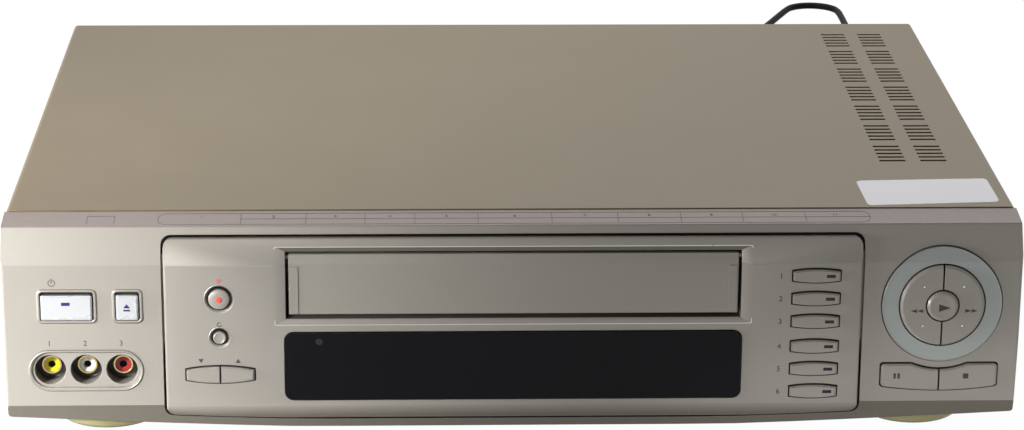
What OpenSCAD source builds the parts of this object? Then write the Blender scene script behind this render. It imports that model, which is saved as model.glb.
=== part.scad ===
// Front-loading video cassette recorder: a folded steel case, a moulded front with a proud
// centre panel, a hinged cassette door, a tinted display window, sprung buttons, three front
// sockets, the cassette lift and tape deck behind them, and the mains lead at the back.
// The face of the front moulding is the zero of every depth in this file.

/* [Case] */
// Width of the front moulding
body_w = 430; // [428:1:440]
// How much narrower the folded cover is than the moulding, both sides together
cover_step = 2; // [1:0.5:4]
// Depth from the front face to the rear edge of the cover
case_d = 318; // [314:1:330]
// Height of the cover's top above the table
case_h = 93.7; // [93:0.1:98]
// Thickness of the cover's sheet steel
sheet = 0.8; // [0.6:0.1:1]
// Outer bend radius along the cover's top edges
bend_r = 2; // [1.5:0.1:3]
// Thickness of the bottom pan's sheet steel
pan_t = 1; // [0.8:0.1:1.2]
// Height of the pan's underside above the table
pan_z = 12; // [11.8:0.1:12.2]
// Height of the pan's folded side walls
pan_wall = 15; // [12:1:20]
// Thickness of the rear panel
rear_t = 1; // [0.8:0.1:1.2]

/* [Front moulding] */
// Wall of the plastic mouldings
wall = 2.4; // [2.2:0.1:2.8]
// Depth of the ledge, from the face to the cover
ledge_d = 19.3; // [18.8:0.1:20]
// How far the top front edge is set back from the face
edge_set = 4.8; // [4:0.1:5.5]
// How far the top front edge lies below the cover's top
edge_drop = 2.3; // [2:0.1:3]
// Radius along the top front edge
edge_r = 1; // [0.6:0.1:2.2]
// Height of the crease where the upper slope begins
crease_z = 75.8; // [75.4:0.1:76.4]
// Height of the crease where the lower edge tucks under
tuck_z = 13; // [12.8:0.1:13.4]
// How far the lip is tucked back under the face
tuck_d = 2.2; // [1.8:0.1:2.4]
// Height of the lip above the table in the middle
lip_z = 2.1; // [1.8:0.1:2.8]
// How much higher the lip is at the two ends
lip_rise = 5.6; // [4:0.1:6]
// Half the width over which the lip is straight
lip_flat = 88; // [70:1:110]
// Radius of the moulding's upright front edges
side_r = 1.5; // [1:0.1:2]

/* [Centre panel] */
// Width of the centre panel
panel_w = 293.8; // [292:0.2:296]
// Height of the panel's top edge
panel_top = 86.9; // [86.4:0.1:87.4]
// How far the panel stands proud of the face
panel_proud = 1.5; // [1:0.1:2]
// Width of the visible seam round the panel
seam = 1; // [0.6:0.1:1.2]
// Height of the strip of moulding under the panel
strip_h = 4.7; // [4.3:0.1:5.2]
// Corner radius of the panel's outline
panel_r = 4; // [3:0.1:5]
// How far the panel sits in from the face, on the moulding's flange
panel_seat = 1.2; // [1:0.1:1.4]
// Width of the flange that carries the panel
flange_w = 4; // [3:0.1:4.6]

/* [Cassette door] */
// Width of the cassette opening
opening_w = 192; // [190:0.2:194]
// Height of the opening's lower edge
opening_z = 51.6; // [51.4:0.1:52]
// Height of the cassette opening
opening_h = 29.4; // [29.2:0.1:29.8]
// Width of the frame's bevel at the sides
frame_side = 4.5; // [3.5:0.1:5.5]
// Width of the frame's bevel above and below
frame_rail = 2.3; // [1.8:0.1:2.6]
// Gap beside the door at each end
door_gap = 1.4; // [1:0.1:1.8]
// Gap under the door
door_gap_low = 1.6; // [1.2:0.1:2]
// Gap over the door
door_gap_top = 1.15; // [1:0.05:1.4]
// Thickness of the door
door_t = 2.2; // [1.8:0.1:2.5]
// How far the door lies behind the face
door_set = 0.5; // [0.3:0.1:0.8]
// Radius of the door's hinge pins
pin_r = 1.2; // [1:0.1:1.4]
// Radial clearance of a pin or shaft in its bearing
running = 0.05; // [0.03:0.01:0.08]
// Width of the raised strip at each end of the door
strip_w = 4; // [3:0.1:5]

/* [Display] */
// Width of the display window
window_w = 193; // [190:0.2:196]
// Height of the window's lower edge
window_z = 15.6; // [15.4:0.1:16]
// Height of the window
window_h = 30.4; // [29.8:0.1:30.8]
// Corner radius of the window
window_r = 3.6; // [2.5:0.1:4.5]
// How far the window stands proud of the panel
window_proud = 0.6; // [0.4:0.1:0.9]

/* [Buttons] */
// Clearance all round a button in its opening
fit = 0.6; // [0.4:0.05:0.8]
// How far a button moves when it is pressed
travel = 1; // [0.8:0.1:1.2]
// How far the buttons stand proud of the surface round them
proud = 1.2; // [0.9:0.1:1.5]
// Height of the upper output button's centre
output_z = 70.4; // [70:0.1:70.8]
// Distance between output buttons in a group of three
output_pitch = 10.2; // [10:0.05:10.4]
// Distance between the two groups' nearest output buttons
output_break = 11.2; // [10.8:0.1:11.6]
// Half the width of an output button's opening
output_half = 10.5; // [10:0.1:11]
// Radius of the record button
record_r = 4.4; // [4:0.1:4.8]
// Radius of the reset button
reset_r = 2.7; // [2.5:0.05:3]
// Gap between the record or reset button and its bezel
bezel_gap = 0.95; // [0.6:0.05:1.2]
// Width of the two bezels' sloping face
bezel_w = 1.15; // [0.9:0.05:1.3]
// Height of the transport ring's centre
ring_z = 56.8; // [56.5:0.1:57.2]
// Distance of the transport ring's centre from the moulding's right end
ring_inset = 33.7; // [33:0.1:35]
// Outer radius of the transport ring
ring_r = 25.4; // [25:0.1:26]
// Gap round the ring
ring_gap = 0.5; // [0.2:0.05:0.6]
// Radius of the opening inside the ring
dial_r = 18.5; // [17.8:0.1:18.8]
// Radius of the play button
play_r = 6.6; // [6.2:0.1:7.4]
// Width of the split between two buttons of a pair
split = 0.7; // [0.5:0.1:0.9]

/* [Front sockets] */
// Distance between two sockets
jack_pitch = 15.1; // [14.6:0.1:15.6]
// Height of the sockets' centres
jack_z = 29.1; // [28.9:0.1:29.4]
// Radius of the cup round each socket
cup_r = 6.6; // [6.3:0.1:6.9]
// Depth of the cups
cup_d = 9; // [8.6:0.1:9.4]
// Outer radius of a socket's metal sleeve
sleeve_r = 4.15; // [4.1:0.05:4.2]
// Radius of the hole for the plug's centre pin
socket_r = 1.6; // [1.5:0.05:1.7]

/* [Cover vents] */
// Length of a slot
slot_l = 11.7; // [10:0.1:13]
// Width of a slot
slot_w = 2.2; // [1.6:0.1:2.8]
// Distance from slot to slot
slot_pitch = 5.3; // [5:0.1:5.5]
// Slots in a group
slots = 5; // [4:1:5]
// Groups of slots in a column
slot_groups = 7; // [5:1:7]
// Distance from group to group
group_pitch = 31.8; // [31.6:0.1:33]

/* [Tape deck] */
// Height of the deck plate's underside
deck_z = 24; // [23.8:0.1:24.4]
// Thickness of the deck plate
deck_t = 1.5; // [1.2:0.1:1.6]
// Distance between the two reel tables
reel_pitch = 93; // [92:0.2:94]
// Radius of the head drum
drum_r = 31; // [30.5:0.1:31]
// Lean of the head drum
drum_tilt = 6; // [5:0.1:6]
// How far the cassette lift draws the cassette in
draw_in = 70; // [65:1:72]
// How far the cassette then drops onto the reel tables
drop = 20; // [18:0.5:20]

/* [Feet and lead] */
// Outer radius of the front feet
foot_r = 22; // [20:0.5:23]
// Distance from the middle to a foot's centre
foot_x = 173; // [165:1:178]
// Diameter of the mains lead
cord_d = 4; // [3.8:0.1:4.2]

/* [Hidden] */

$fn = 40;
eps = 0.01;
clear = 0.3;             // gap between pieces that don't touch
corner_steps = 5;        // straight pieces in a rounded corner
finish = "#b9b5aa";      // champagne paint
steel = "#c3c4c2";
board = "#3f6b3f";
black = "#1b1b1d";

// Places that follow from the sizes above
half_w = body_w / 2;
cover_w = body_w - cover_step;
ledge_z = case_h - 0.5;
edge_z = case_h - edge_drop;
slope = edge_set / (edge_z - crease_z);
panel_in = panel_seat;
rear_d = case_d - sheet;             // outside of the rear panel
play_proud = proud + panel_proud + 0.7;
jack_reach = 8;                      // how far the rear sockets stand out
front_reach = play_proud;
rear_reach = rear_d + jack_reach;
face_y = (front_reach - rear_reach) / 2;
ring_x = half_w - ring_inset;
jack_x = -(half_w + panel_w / 2) / 2 + 0.45;  // middle one of the three front sockets
opening_top = opening_z + opening_h;
pan_w = cover_w - 2 * sheet - 2 * clear;
board_d = 10;                        // front of the panel's circuit board
board_t = 1.6;

// Front moulding, in detail
lip_bend = 1.25;                     // how the lip's rise grows towards the ends
end_draft = 0.9;                     // the ends lean in towards the lip
post_r = 2.4;                        // posts that carry the front circuit boards
rim_w = 1.1;
rim_h = 0.4;
key_gap = 0.6;                       // beside and under a rectangular key
key_gap_top = 1.2;
left_board_d = 16.8;                 // front of the board behind the sockets
right_board_d = 12;                  // front of the board behind the dial
left_edge = -panel_w / 2 - 5;
power_w = 22.6;
eject_w = 10.4;
keys_apart = 8.9;
keys_z = 51.3;
keys_h = 12.7;
wing_w = (body_w - panel_w) / 2;
keys_from = -half_w + 0.61 * (wing_w - power_w - keys_apart - eject_w);
power_hole = rect(keys_from, keys_z, keys_from + power_w, keys_z + keys_h);
eject_from = keys_from + power_w + keys_apart;
eject_hole = rect(eject_from, keys_z, eject_from + eject_w, keys_z + keys_h);
post_in = 8;                         // of the posts, from the ends of a wing
left_posts = [for (x = [-half_w + post_in, -panel_w / 2 - post_in - 0.1], z = [44, edge_z - 17.4]) [x, z]];
right_posts = [[ring_x - 24, edge_z - 11.4], [ring_x + 26, edge_z - 11.4], [ring_x - 28, 34],
    [ring_x + 28, 34]];
panel_post_r = 1.6;
panel_posts = [for (x = [-panel_w / 2 + 5.9, -opening_w / 2 - 9, opening_w / 2 + 9, panel_w / 2 - 5.9],
    z = [36, 78]) [x, z]];
ring_proud = 0.9;
ring_seat = 1;
ring_ledge = 1.7;                    // hole in the moulding under the ring
dial_back = ring_seat + clear + 1;
play_back = dial_back + travel + clear;
pause_half = 25.3;
pause_low = 17.6;
pause_top = 30.7;
pause_gap = 3.2;                     // strip between the ring and the lower pair
pause_z = 24;
button_x = -panel_w / 2 + 23.1;
record_z = 61.15;
reset_z = 43.95;
bezel_seat = 1.1;
channel_z = 27.3;
channel_half = 14.85;
channel_end = 2.8;
channel_mid = 4.3;
output_x = panel_w / 2 - 19.4;
output_end = 2.6;
collar = 0.3;                        // an output button's retaining edge
output_mid = 3.5;
function output_at(i) = output_z - output_pitch * i - (i > 2 ? output_break - output_pitch : 0);
switch_h = 4.8;
function stem_end(board_at) = board_at - switch_h - travel - 0.2;
panel_edge = 1.2;                    // radius round the panel's front edges
panel_switches = [[button_x, record_z], [button_x, reset_z], [button_x - channel_half / 2, channel_z],
    [button_x + channel_half / 2, channel_z]];
board_top = opening_z - 1.6 - 1;
window_t = 1.6;
window_lap = 2;
tube_w = 112;
tube_z = 21;
tunnel = 1.6;                        // walls of the passage behind the opening
tunnel_d = 8;
shelf_d = 28;
pivot_d = 3.5;
pivot_z = opening_top - 2.8;
plate_r = 8.9;                       // half the height of the socket plate
plate_set = 0.5;
sleeve_d = 6.5;
insert_r = sleeve_r - 0.7;
hinge_r = 2;                         // barrel along the door's top

// Case, in detail
cover_low = pan_z + 0.5;
rear_lip = 9;
screw_r = 1.5;
side_screw_d = [70, case_d - 68];
side_screw_z = pan_z + 10;
rear_screw_x = [-pan_w / 2 + 22.9, 0, pan_w / 2 - 22.9];
rear_screw_z = case_h - 5;
foot_pin_r = 2;
front_foot_d = foot_r + 5.2;
rear_foot_d = case_d - 33;
vent_x = [cover_w / 2 - 43.1, cover_w / 2 - 24.8];
vent_d = case_d - 20.9 - (slot_groups - 1) * group_pitch - (slots - 1) * slot_pitch;
floor_board_z = 20;
on_board = floor_board_z + board_t;
board_d0 = 50;
board_d1 = rear_d - 21.2;
deck_half = 110;                     // half the width of the deck plate
main_x0 = -pan_w / 2 + 8.9;
main_x1 = -deck_half - 4;
power_x0 = deck_half + 6;
power_x1 = pan_w / 2 - 8.9;
aerial_x = main_x0 + 26;
aerial_z = [34, 54];
aerial_r = 5;
aerial_socket_r = 3.6;
rear_jack_x = [aerial_x + 44, aerial_x + 62, aerial_x + 80];
rear_jack_z = [34, 54];

// Tape deck, in detail
deck_top = deck_z + deck_t;
deck_d0 = 60;
deck_d1 = rear_d - 27.2;
deck_post_x = 100;
bracket_x = 103;
bracket_d0 = 31;
bracket_d1 = 215;
slider_x = 99.2;
slider_pins = [55, 105];
slider_pin_z = 48;
slider_top = case_h - 5.7;
basket_half = 98;
basket_d0 = 32;
basket_d1 = 128;
basket_z = opening_z + 1.2;
basket_h = 27.6;
basket_pins = [62, 98];
basket_pin_z = basket_z + basket_h - 4;
reel_d = 147;
reel_z = deck_top + 0.4;
spindle_r = 2;
drum_x = 0;
drum_d = 246;
drum_z = deck_top + 5;
capstan_x = 60;
capstan_d = 206;
capstan_r = 1.5;
fly_z = pan_z + pan_t + 2.5;
head_x = 40;
head_d = 212;
guide_places = [[-64, 208], [-48, 212], [78, 210]];

// Mains lead, in detail
gland_x = 150;
gland_z = 38;
gland_r = 6;
gland_l = 28;
plug_t = 13.7;
cord_route = [[150, 210, 33.5], [150, 224, 24], [150, 237, 13.5], [150, 252, 6], [150, 270, 2.8],
    [150.4, 288, 2.15], [151.3, 312, 2.1], [152.8, 345, 2.1], [154.6, 390, 2.1], [158, 425, 2.1],
    [164.5, 456, 2.1], [173, 480, 2.1], [181.2, 499, 2.1], [188, 515, 2.1], [195.4, 531.7, 2.1],
    [199.9, 537.6, 2.1], [206.5, 541, 2.1], [213.9, 541.1, 2.1], [220.7, 538, 2.1],
    [225.3, 532.2, 2.1], [227, 525, 2.1], [227.4, 512, 2.1], [227.5, 494, 2.1], [227.6, 465, 2.1],
    [227.2, 420, 2.1], [225.4, 365, 2.1], [221.5, 310, 2.1]];
table_gap = 0.1;                     // what the lead's round form needs under it
coil_x = 188;
coil_y = 232;
coil_pitch = cord_d + 0.5;
coil_turns = 6.25;
coil_run = (coil_turns - 0.5) / 2;   // turns in each layer
coil_in = 16.4;
coil_out = coil_in + coil_pitch * coil_run;
coil_rings = 24;
coil_dip = 0.9;                      // the climb runs a little inside the innermost turn

function unit(v) = v / norm(v);
function rect(x0, z0, x1, z1) = [[x0, z0], [x1, z0], [x1, z1], [x0, z1]];

// Points of an arc that rounds the corner b of a-b-c
function corner(a, b, c, r) = r <= 0 ? [b] :
    let (
        u = unit(a - b),
        v = unit(c - b),
        turn = acos(u * v),
        run = r / tan(turn / 2),
        mid = b + unit(u + v) * r / sin(turn / 2),
        p = b + u * run,
        q = b + v * run,
        from = atan2(p[1] - mid[1], p[0] - mid[0]),
        to = atan2(q[1] - mid[1], q[0] - mid[0]),
        sweep = (to - from + 540) % 360 - 180
    )
    [for (i = [0 : corner_steps])
        mid + r * [cos(from + sweep * i / corner_steps), sin(from + sweep * i / corner_steps)]];

// An outline with its corners rounded, by one radius or by a list of them
function rounded(pts, r) = let (n = len(pts)) [for (i = [0 : n - 1])
    each corner(pts[(i + n - 1) % n], pts[i], pts[(i + 1) % n], is_list(r) ? r[i] : r)];

// An outline with straight ends and bowed long sides
function lens(cx, cz, half, end_h, mid_h) =
    let (sag = mid_h - end_h, r = (half * half + sag * sag) / (2 * sag), n = 10)
    concat(
        [for (i = [0 : n]) let (x = -half + 2 * half * i / n)
            [cx + x, cz - mid_h + r - sqrt(r * r - x * x)]],
        [for (i = [0 : n]) let (x = half - 2 * half * i / n)
            [cx + x, cz + mid_h - r + sqrt(r * r - x * x)]]
    );

// Height of the lip, of the panel's lower edge, and depth of the face at a height
function lip(x) = lip_z + lip_rise * pow(max(0, (abs(x) - lip_flat) / (half_w - lip_flat)), lip_bend);
function face_d(z) = z > crease_z ? (z - crease_z) * slope
    : z < tuck_z ? tuck_d * (tuck_z - z) / (tuck_z - 1) : 0;

// The face's own line, moved back by s, from height z1 down to z0
function face_line(s, z1, z0) = [[face_d(z1) + s, z1], [s, crease_z], [s, tuck_z], [face_d(z0) + s, z0]];
function reversed(pts) = [for (i = [len(pts) - 1 : -1 : 0]) pts[i]];
// The space between the face moved by s and the face moved by t
function face_slab(s, t, z1, z0) = concat(face_line(s, z1, z0), reversed(face_line(t, z1, z0)));

function panel_outline(grow) =
    let (w = panel_w / 2 + grow, n = 12)
    rounded(
        concat(
            [for (i = [0 : n]) let (x = -w + 2 * w * i / n) [x, lip(x) + strip_h - grow]],
            [[w, panel_top + grow], [-w, panel_top + grow]]
        ),
        [for (i = [0 : n + 2]) i == 0 || i >= n ? panel_r : 0]
    );

module in_place() {
    translate([0, face_y, 0]) children();
}

// A (depth, height) outline drawn out from x0 to x1
module along_x(points, x0, x1) {
    translate([x0, 0, 0]) rotate([90, 0, 90]) linear_extrude(x1 - x0) polygon(points);
}

// A flat (x, height) shape drawn out from depth d0 to d1
module along_y(d0, d1) {
    translate([0, d1, 0]) rotate([90, 0, 0]) linear_extrude(d1 - d0) children();
}

module rod_x(r, x0, x1, d, z) {
    translate([x0, d, z]) rotate([0, 90, 0]) cylinder(r = r, h = x1 - x0);
}

module rod_y(r, d0, d1, x, z) {
    translate([x, d0, z]) rotate([-90, 0, 0]) cylinder(r = r, h = d1 - d0);
}

module rod_z(r, z0, z1, x, d) {
    translate([x, d, z0]) cylinder(r = r, h = z1 - z0);
}

module block(x0, x1, d0, d1, z0, z1) {
    translate([x0, d0, z0]) cube([x1 - x0, d1 - d0, z1 - z0]);
}

// The two ends of something that is the same left and right
module both_sides() {
    children();
    mirror([1, 0, 0]) children();
}

// Case

module deck_post_places() {
    for (x = [-deck_post_x, deck_post_x], d = [deck_d0 + 8, deck_d1 - 8]) translate([x, d, 0]) children();
}

module board_post_places(x0, x1) {
    for (x = [x0 + 6, x1 - 6], d = [board_d0 + 8, board_d1 - 8]) translate([x, d, 0]) children();
}

module bottom_pan() {
    color(steel) in_place() {
        difference() {
            block(-pan_w / 2, pan_w / 2, ledge_d, rear_d - rear_t, pan_z, pan_z + pan_wall);
            block(-pan_w / 2 + pan_t, pan_w / 2 - pan_t, ledge_d + pan_t, rear_d, pan_z + pan_t,
                case_h);
            for (x = [-foot_x, foot_x], d = [front_foot_d, rear_foot_d])
                rod_z(foot_pin_r, pan_z - 1, pan_z + pan_t + 1, x, d);
            for (i = [-3 : 3], d = [120, 150])
                block(i * 12 - 3, i * 12 + 3, d, d + 18, pan_z - 1, pan_z + pan_t + 1);
            for (side = [-1, 1], d = side_screw_d)
                rod_x(screw_r + running, side * pan_w / 2 - 3, side * pan_w / 2 + 3, d, side_screw_z);
        }
        deck_post_places() cylinder_between(4, pan_z + pan_t, deck_z);
        board_post_places(main_x0, main_x1) cylinder_between(3, pan_z + pan_t, floor_board_z);
        board_post_places(power_x0, power_x1) cylinder_between(3, pan_z + pan_t, floor_board_z);
    }
}

module cylinder_between(r, z0, z1) {
    translate([0, 0, z0]) cylinder(r = r, h = z1 - z0);
}

module vent_slots() {
    for (x = vent_x, g = [0 : slot_groups - 1], s = [0 : slots - 1])
        translate([x, vent_d + g * group_pitch + s * slot_pitch]) square([slot_l, slot_w], center = true);
}

module top_cover() {
    w = cover_w / 2;
    color(finish) in_place() {
        difference() {
            along_y(ledge_d + clear, case_d) polygon(rounded(rect(-w, cover_low, w, case_h),
                [0, 0, bend_r, bend_r]));
            along_y(ledge_d, case_d + 1) polygon(rounded(
                rect(-w + sheet, cover_low - 1, w - sheet, case_h - sheet),
                [0, 0, bend_r - sheet, bend_r - sheet]));
            translate([0, 0, case_h - 5]) linear_extrude(10) vent_slots();
            for (side = [-1, 1], d = side_screw_d)
                rod_x(screw_r + clear, side * w - 3, side * w + 3, d, side_screw_z);
        }
        difference() {
            block(-w + sheet, w - sheet, rear_d, case_d, case_h - rear_lip, case_h - sheet);
            for (x = rear_screw_x) rod_y(screw_r + clear, rear_d - 1, case_d + 1, x, rear_screw_z);
        }
    }
}

module rear_panel() {
    color(steel) in_place() difference() {
        block(-pan_w / 2, pan_w / 2, rear_d - rear_t, rear_d, pan_z, case_h - sheet - clear);
        for (z = aerial_z) rod_y(aerial_r + clear, rear_d - 5, rear_d + 5, aerial_x, z);
        for (x = rear_jack_x, z = rear_jack_z) rod_y(sleeve_r + clear, rear_d - 5, rear_d + 5, x, z);
        rod_y(gland_r + running, rear_d - 5, rear_d + 5, gland_x, gland_z);
        for (x = rear_screw_x) rod_y(screw_r + running, rear_d - 5, rear_d + 5, x, rear_screw_z);
        for (i = [0 : 9]) block(30 + i * 6, 33 + i * 6, rear_d - 5, rear_d + 5, case_h - 31.7,
            case_h - 13.7);
    }
}

// A pan-head screw along +X from the origin, its head at the origin
module screw() {
    rotate([0, 90, 0]) rotate_extrude() polygon([[0, -1.7], [2.2, -1.5], [3.4, -0.8], [3.6, 0],
        [screw_r, 0], [screw_r, 7], [screw_r - 0.6, 8], [0, 8]]);
}

module cover_screws() {
    color(steel) in_place() {
        for (d = side_screw_d) {
            translate([-cover_w / 2, d, side_screw_z]) screw();
            translate([cover_w / 2, d, side_screw_z]) mirror([1, 0, 0]) screw();
        }
        for (x = rear_screw_x) translate([x, case_d, rear_screw_z]) rotate([0, 0, -90]) screw();
    }
}

// Front moulding

module rim(x0, z0, x1, z1, r, width, height) {
    along_y(-height, eps) difference() {
        polygon(rounded(rect(x0, z0, x1, z1), r));
        polygon(rounded(rect(x0 + width, z0 + width, x1 - width, z1 - width), r - width / 2));
    }
}

module stadium(grow) {
    for (x = [-jack_pitch, jack_pitch]) translate([jack_x + x, jack_z]) circle(r = plate_r + grow);
    translate([jack_x - jack_pitch, jack_z - plate_r - grow])
        square([2 * jack_pitch, 2 * (plate_r + grow)]);
}

// Outlines of the two lower transport buttons' opening, its upper edge hollowed round the ring
module pause_stop_shape(shrink) {
    half = pause_half - shrink;
    low = pause_low + shrink;
    sag = 2;
    n = 10;
    difference() {
        polygon(rounded(concat(
            [for (i = [0 : n]) let (x = -half + 2 * half * i / n)
                [ring_x + x, low + sag * (x / half) * (x / half)]],
            [[ring_x + half, pause_top - shrink], [ring_x - half, pause_top - shrink]]),
            [for (i = [0 : n + 2]) i == 0 || i >= n ? 1.5 : 0]));
        translate([ring_x, ring_z]) circle(r = ring_r + pause_gap + shrink);
    }
}

module fascia() {
    inner = half_w - wall - 1;
    color(finish) in_place() {
        difference() {
            intersection() {
                along_x(rounded([[ledge_d, ledge_z], [edge_set, edge_z], [0, crease_z], [0, tuck_z],
                    [tuck_d, 1], [tuck_d + wall, 1], [tuck_d + wall, tuck_z], [ledge_d, tuck_z]],
                    [0, edge_r, 3, 1.2, 0, 0, 0, 0]), -half_w, half_w);
                along_y(-5, ledge_d + 1) polygon(rounded(concat(
                    [for (i = [-9 : 9]) let (x = (half_w - end_draft) * i / 9) [x, lip(x)]],
                    [[half_w, 45], [half_w, 74], [half_w - 0.7, case_h + 1],
                     [-half_w + 0.7, case_h + 1], [-half_w, 74], [-half_w, 45]]),
                    [for (i = [0 : 24]) i == 0 || i == 18 ? 1.4 : i == 19 || i == 20 || i > 22 ? 9 : 0]));
                linear_extrude(case_h) polygon(rounded(rect(-half_w, 0, half_w, ledge_d + 1),
                    [side_r, side_r, 0, 0]));
            }
            along_x([[ledge_d + 1, ledge_z - wall], [face_d(edge_z - wall) + wall, edge_z - wall],
                [wall, crease_z], [wall, tuck_z + wall], [ledge_d + 1, tuck_z + wall]],
                -inner, inner);
            block(output_x - output_half - 1.5, output_x + output_half + 1.5, wall, wall + 2,
                output_at(5) - output_mid - collar - clear, tuck_z + wall + 1);
            intersection() {
                along_y(-5, ledge_d) polygon(panel_outline(seam));
                along_x(face_slab(-8, panel_in, case_h, 0), -half_w, half_w);
            }
            intersection() {
                along_y(-5, ledge_d) polygon(panel_outline(-flange_w));
                along_x(face_slab(-8, wall + 0.4, case_h, 0), -half_w, half_w);
            }
            block(-opening_w / 2 - tunnel - clear, opening_w / 2 + tunnel + clear, wall, tunnel_d + 1,
                opening_z, opening_top + tunnel + clear);
            along_y(-5, wall + 1) polygon(rounded(power_hole, 1));
            along_y(-5, wall + 1) polygon(rounded(eject_hole, 1));
            along_y(-5, wall + 1) stadium(running);
            intersection() {
                rod_y(ring_r + ring_gap, -5, 9, ring_x, ring_z);
                along_x(face_slab(-8, ring_seat, case_h, 0), -half_w, half_w);
            }
            rod_y(dial_r + ring_ledge, -5, 9, ring_x, ring_z);
            along_y(-5, wall + 1) pause_stop_shape(0);
        }
        rim(power_hole[0][0] - rim_w, power_hole[0][1] - rim_w, power_hole[2][0] + rim_w,
            power_hole[2][1] + rim_w, 1.9, rim_w, rim_h);
        rim(eject_hole[0][0] - rim_w, eject_hole[0][1] - rim_w, eject_hole[2][0] + rim_w,
            eject_hole[2][1] + rim_w, 1.9, rim_w, rim_h);
        for (p = left_posts) rod_y(post_r, wall - 0.2, left_board_d, p[0], p[1]);
        for (p = right_posts) rod_y(post_r, wall - 0.2, right_board_d, p[0], p[1]);
    }
}

module centre_panel() {
    w = panel_w / 2;
    half = opening_w / 2;
    color(finish) in_place() {
        difference() {
            intersection() {
                along_y(-5, 12) polygon(panel_outline(0));
                along_x(rounded(face_slab(-panel_proud, panel_in, panel_top, strip_h + lip_z),
                    [panel_edge, 3, 1.2, panel_edge, 0, 0, 0, 0]), -w, w);
                linear_extrude(case_h) polygon(rounded(rect(-w, -panel_proud, w, 12),
                    [panel_edge, panel_edge, 0, 0]));
            }
            opening_bevel();
            along_y(-9, 12) polygon(rounded(window_rect(clear), window_r + clear));
            rod_y(record_r + bezel_gap, -5, 5, button_x, record_z);
            rod_y(bezel_r(record_r), -5, -panel_proud + bezel_seat, button_x, record_z);
            rod_y(reset_r + bezel_gap, -5, 5, button_x, reset_z);
            rod_y(bezel_r(reset_r), -5, -panel_proud + bezel_seat, button_x, reset_z);
            along_y(-5, 5) polygon(lens(button_x, channel_z, channel_half, channel_end, channel_mid));
            for (i = [0 : 5])
                along_y(-5, 5) polygon(lens(output_x, output_at(i), output_half, output_end, output_mid));
        }
        difference() {
            union() {
                block(-half - tunnel, half + tunnel, panel_in - 0.2, tunnel_d, opening_z - tunnel,
                    opening_top + tunnel);
                block(-half, half, panel_in - 0.2, shelf_d, opening_z - tunnel, opening_z);
            }
            block(-half, half, -1, shelf_d + 1, opening_z, opening_top);
            along_x(face_slab(-9, panel_in - 0.2, case_h, 0), -w, w);
            rod_x(pin_r + running, -half - tunnel - 1, half + tunnel + 1, pivot_d, pivot_z);
        }
        for (p = panel_posts) rod_y(panel_post_r, panel_in - 0.2, board_d, p[0], p[1]);
    }
}

// The bevelled frame round the cassette opening, cut in the panel; above the crease it leans back
module opening_bevel() {
    half = opening_w / 2;
    grow = frame_side / panel_proud;
    rise = frame_rail / panel_proud;
    out = 4;
    plan = [[-half - grow * out, -out], [half + grow * out, -out], [half, 0], [half, 12], [-half, 12],
        [-half, 0]];
    top_d = face_d(opening_top);
    intersection() {
        union() {
            linear_extrude(crease_z) polygon(plan);
            translate([0, 0, crease_z]) rotate([-atan(slope), 0, 0]) translate([0, 0, -5]) linear_extrude(25)
                polygon(plan);
        }
        along_x([[-out, opening_z - rise * out], [0, opening_z], [12, opening_z], [12, opening_top],
            [top_d, opening_top], [top_d - out * (1 - slope * rise), opening_top + rise * out]],
            -half - 20, half + 20);
    }
}

function window_rect(grow) = rect(-window_w / 2 - grow, window_z - grow, window_w / 2 + grow,
    window_z + window_h + grow);

module display_window() {
    front = -panel_proud - window_proud;
    color(black) in_place() difference() {
        union() {
            along_y(front, panel_in + eps) polygon(rounded(window_rect(0), window_r));
            along_y(panel_in, panel_in + 1) polygon(rounded(window_rect(window_lap), window_r));
        }
        along_y(front + window_t, panel_in + 2) polygon(rounded(window_rect(-window_lap), 1));
    }
}

module display_board() {
    side = panel_w / 2 - 3;
    inner = opening_w / 2 + tunnel + 3;
    low = tuck_z + wall + 1;
    high = edge_z - 7.4;
    color(board) in_place() {
        along_y(board_d, board_d + board_t) polygon([[-side, low], [side, low], [side, high],
            [inner, high], [inner, board_top], [-inner, board_top], [-inner, high], [-side, high]]);
        for (p = concat(panel_switches, [for (i = [0 : 5]) [output_x, output_at(i)]]))
            switch(p[0], p[1], board_d);
        for (x = [-70, 66]) block(x, x + 6, board_d - 3, board_d, 22, 30);
    }
}

// A push switch on the front of a board at depth d
module switch(x, z, d) {
    block(x - 3, x + 3, d - 3.6, d, z - 3, z + 3);
    rod_y(1.6, d - switch_h, d - 3.5, x, z);
}

module display_tube() {
    color("#5f7f86") in_place() difference() {
        block(-tube_w / 2, tube_w / 2, board_d - 6, board_d, tube_z, tube_z + 19);
        block(-tube_w / 2 + 3, tube_w / 2 - 3, board_d - 7, board_d - 5.4, tube_z + 3, tube_z + 16);
    }
}

module jack_plate() {
    color(finish) in_place() difference() {
        union() {
            along_y(-0.4, wall) stadium(0);
            for (i = [-1 : 1]) rod_y(cup_r + 0.9, 1, cup_d + 1, jack_x + i * jack_pitch, jack_z);
        }
        along_y(-1, plate_set) stadium(-1);
        for (i = [-1 : 1]) {
            rod_y(cup_r, -1, cup_d, jack_x + i * jack_pitch, jack_z);
            rod_y(sleeve_r + 0.15, 0, cup_d + 2, jack_x + i * jack_pitch, jack_z);
        }
    }
}

// The metal sleeves of the sockets, front and rear
module jack_sleeves() {
    color(steel) in_place() {
        for (i = [-1 : 1]) difference() {
            union() {
                rod_y(sleeve_r, sleeve_d, left_board_d, jack_x + i * jack_pitch, jack_z);
                rod_y(sleeve_r + 1.2, cup_d + 1.1, left_board_d, jack_x + i * jack_pitch, jack_z);
            }
            rod_y(insert_r, sleeve_d - 1, left_board_d + 1, jack_x + i * jack_pitch, jack_z);
        }
    }
}

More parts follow.
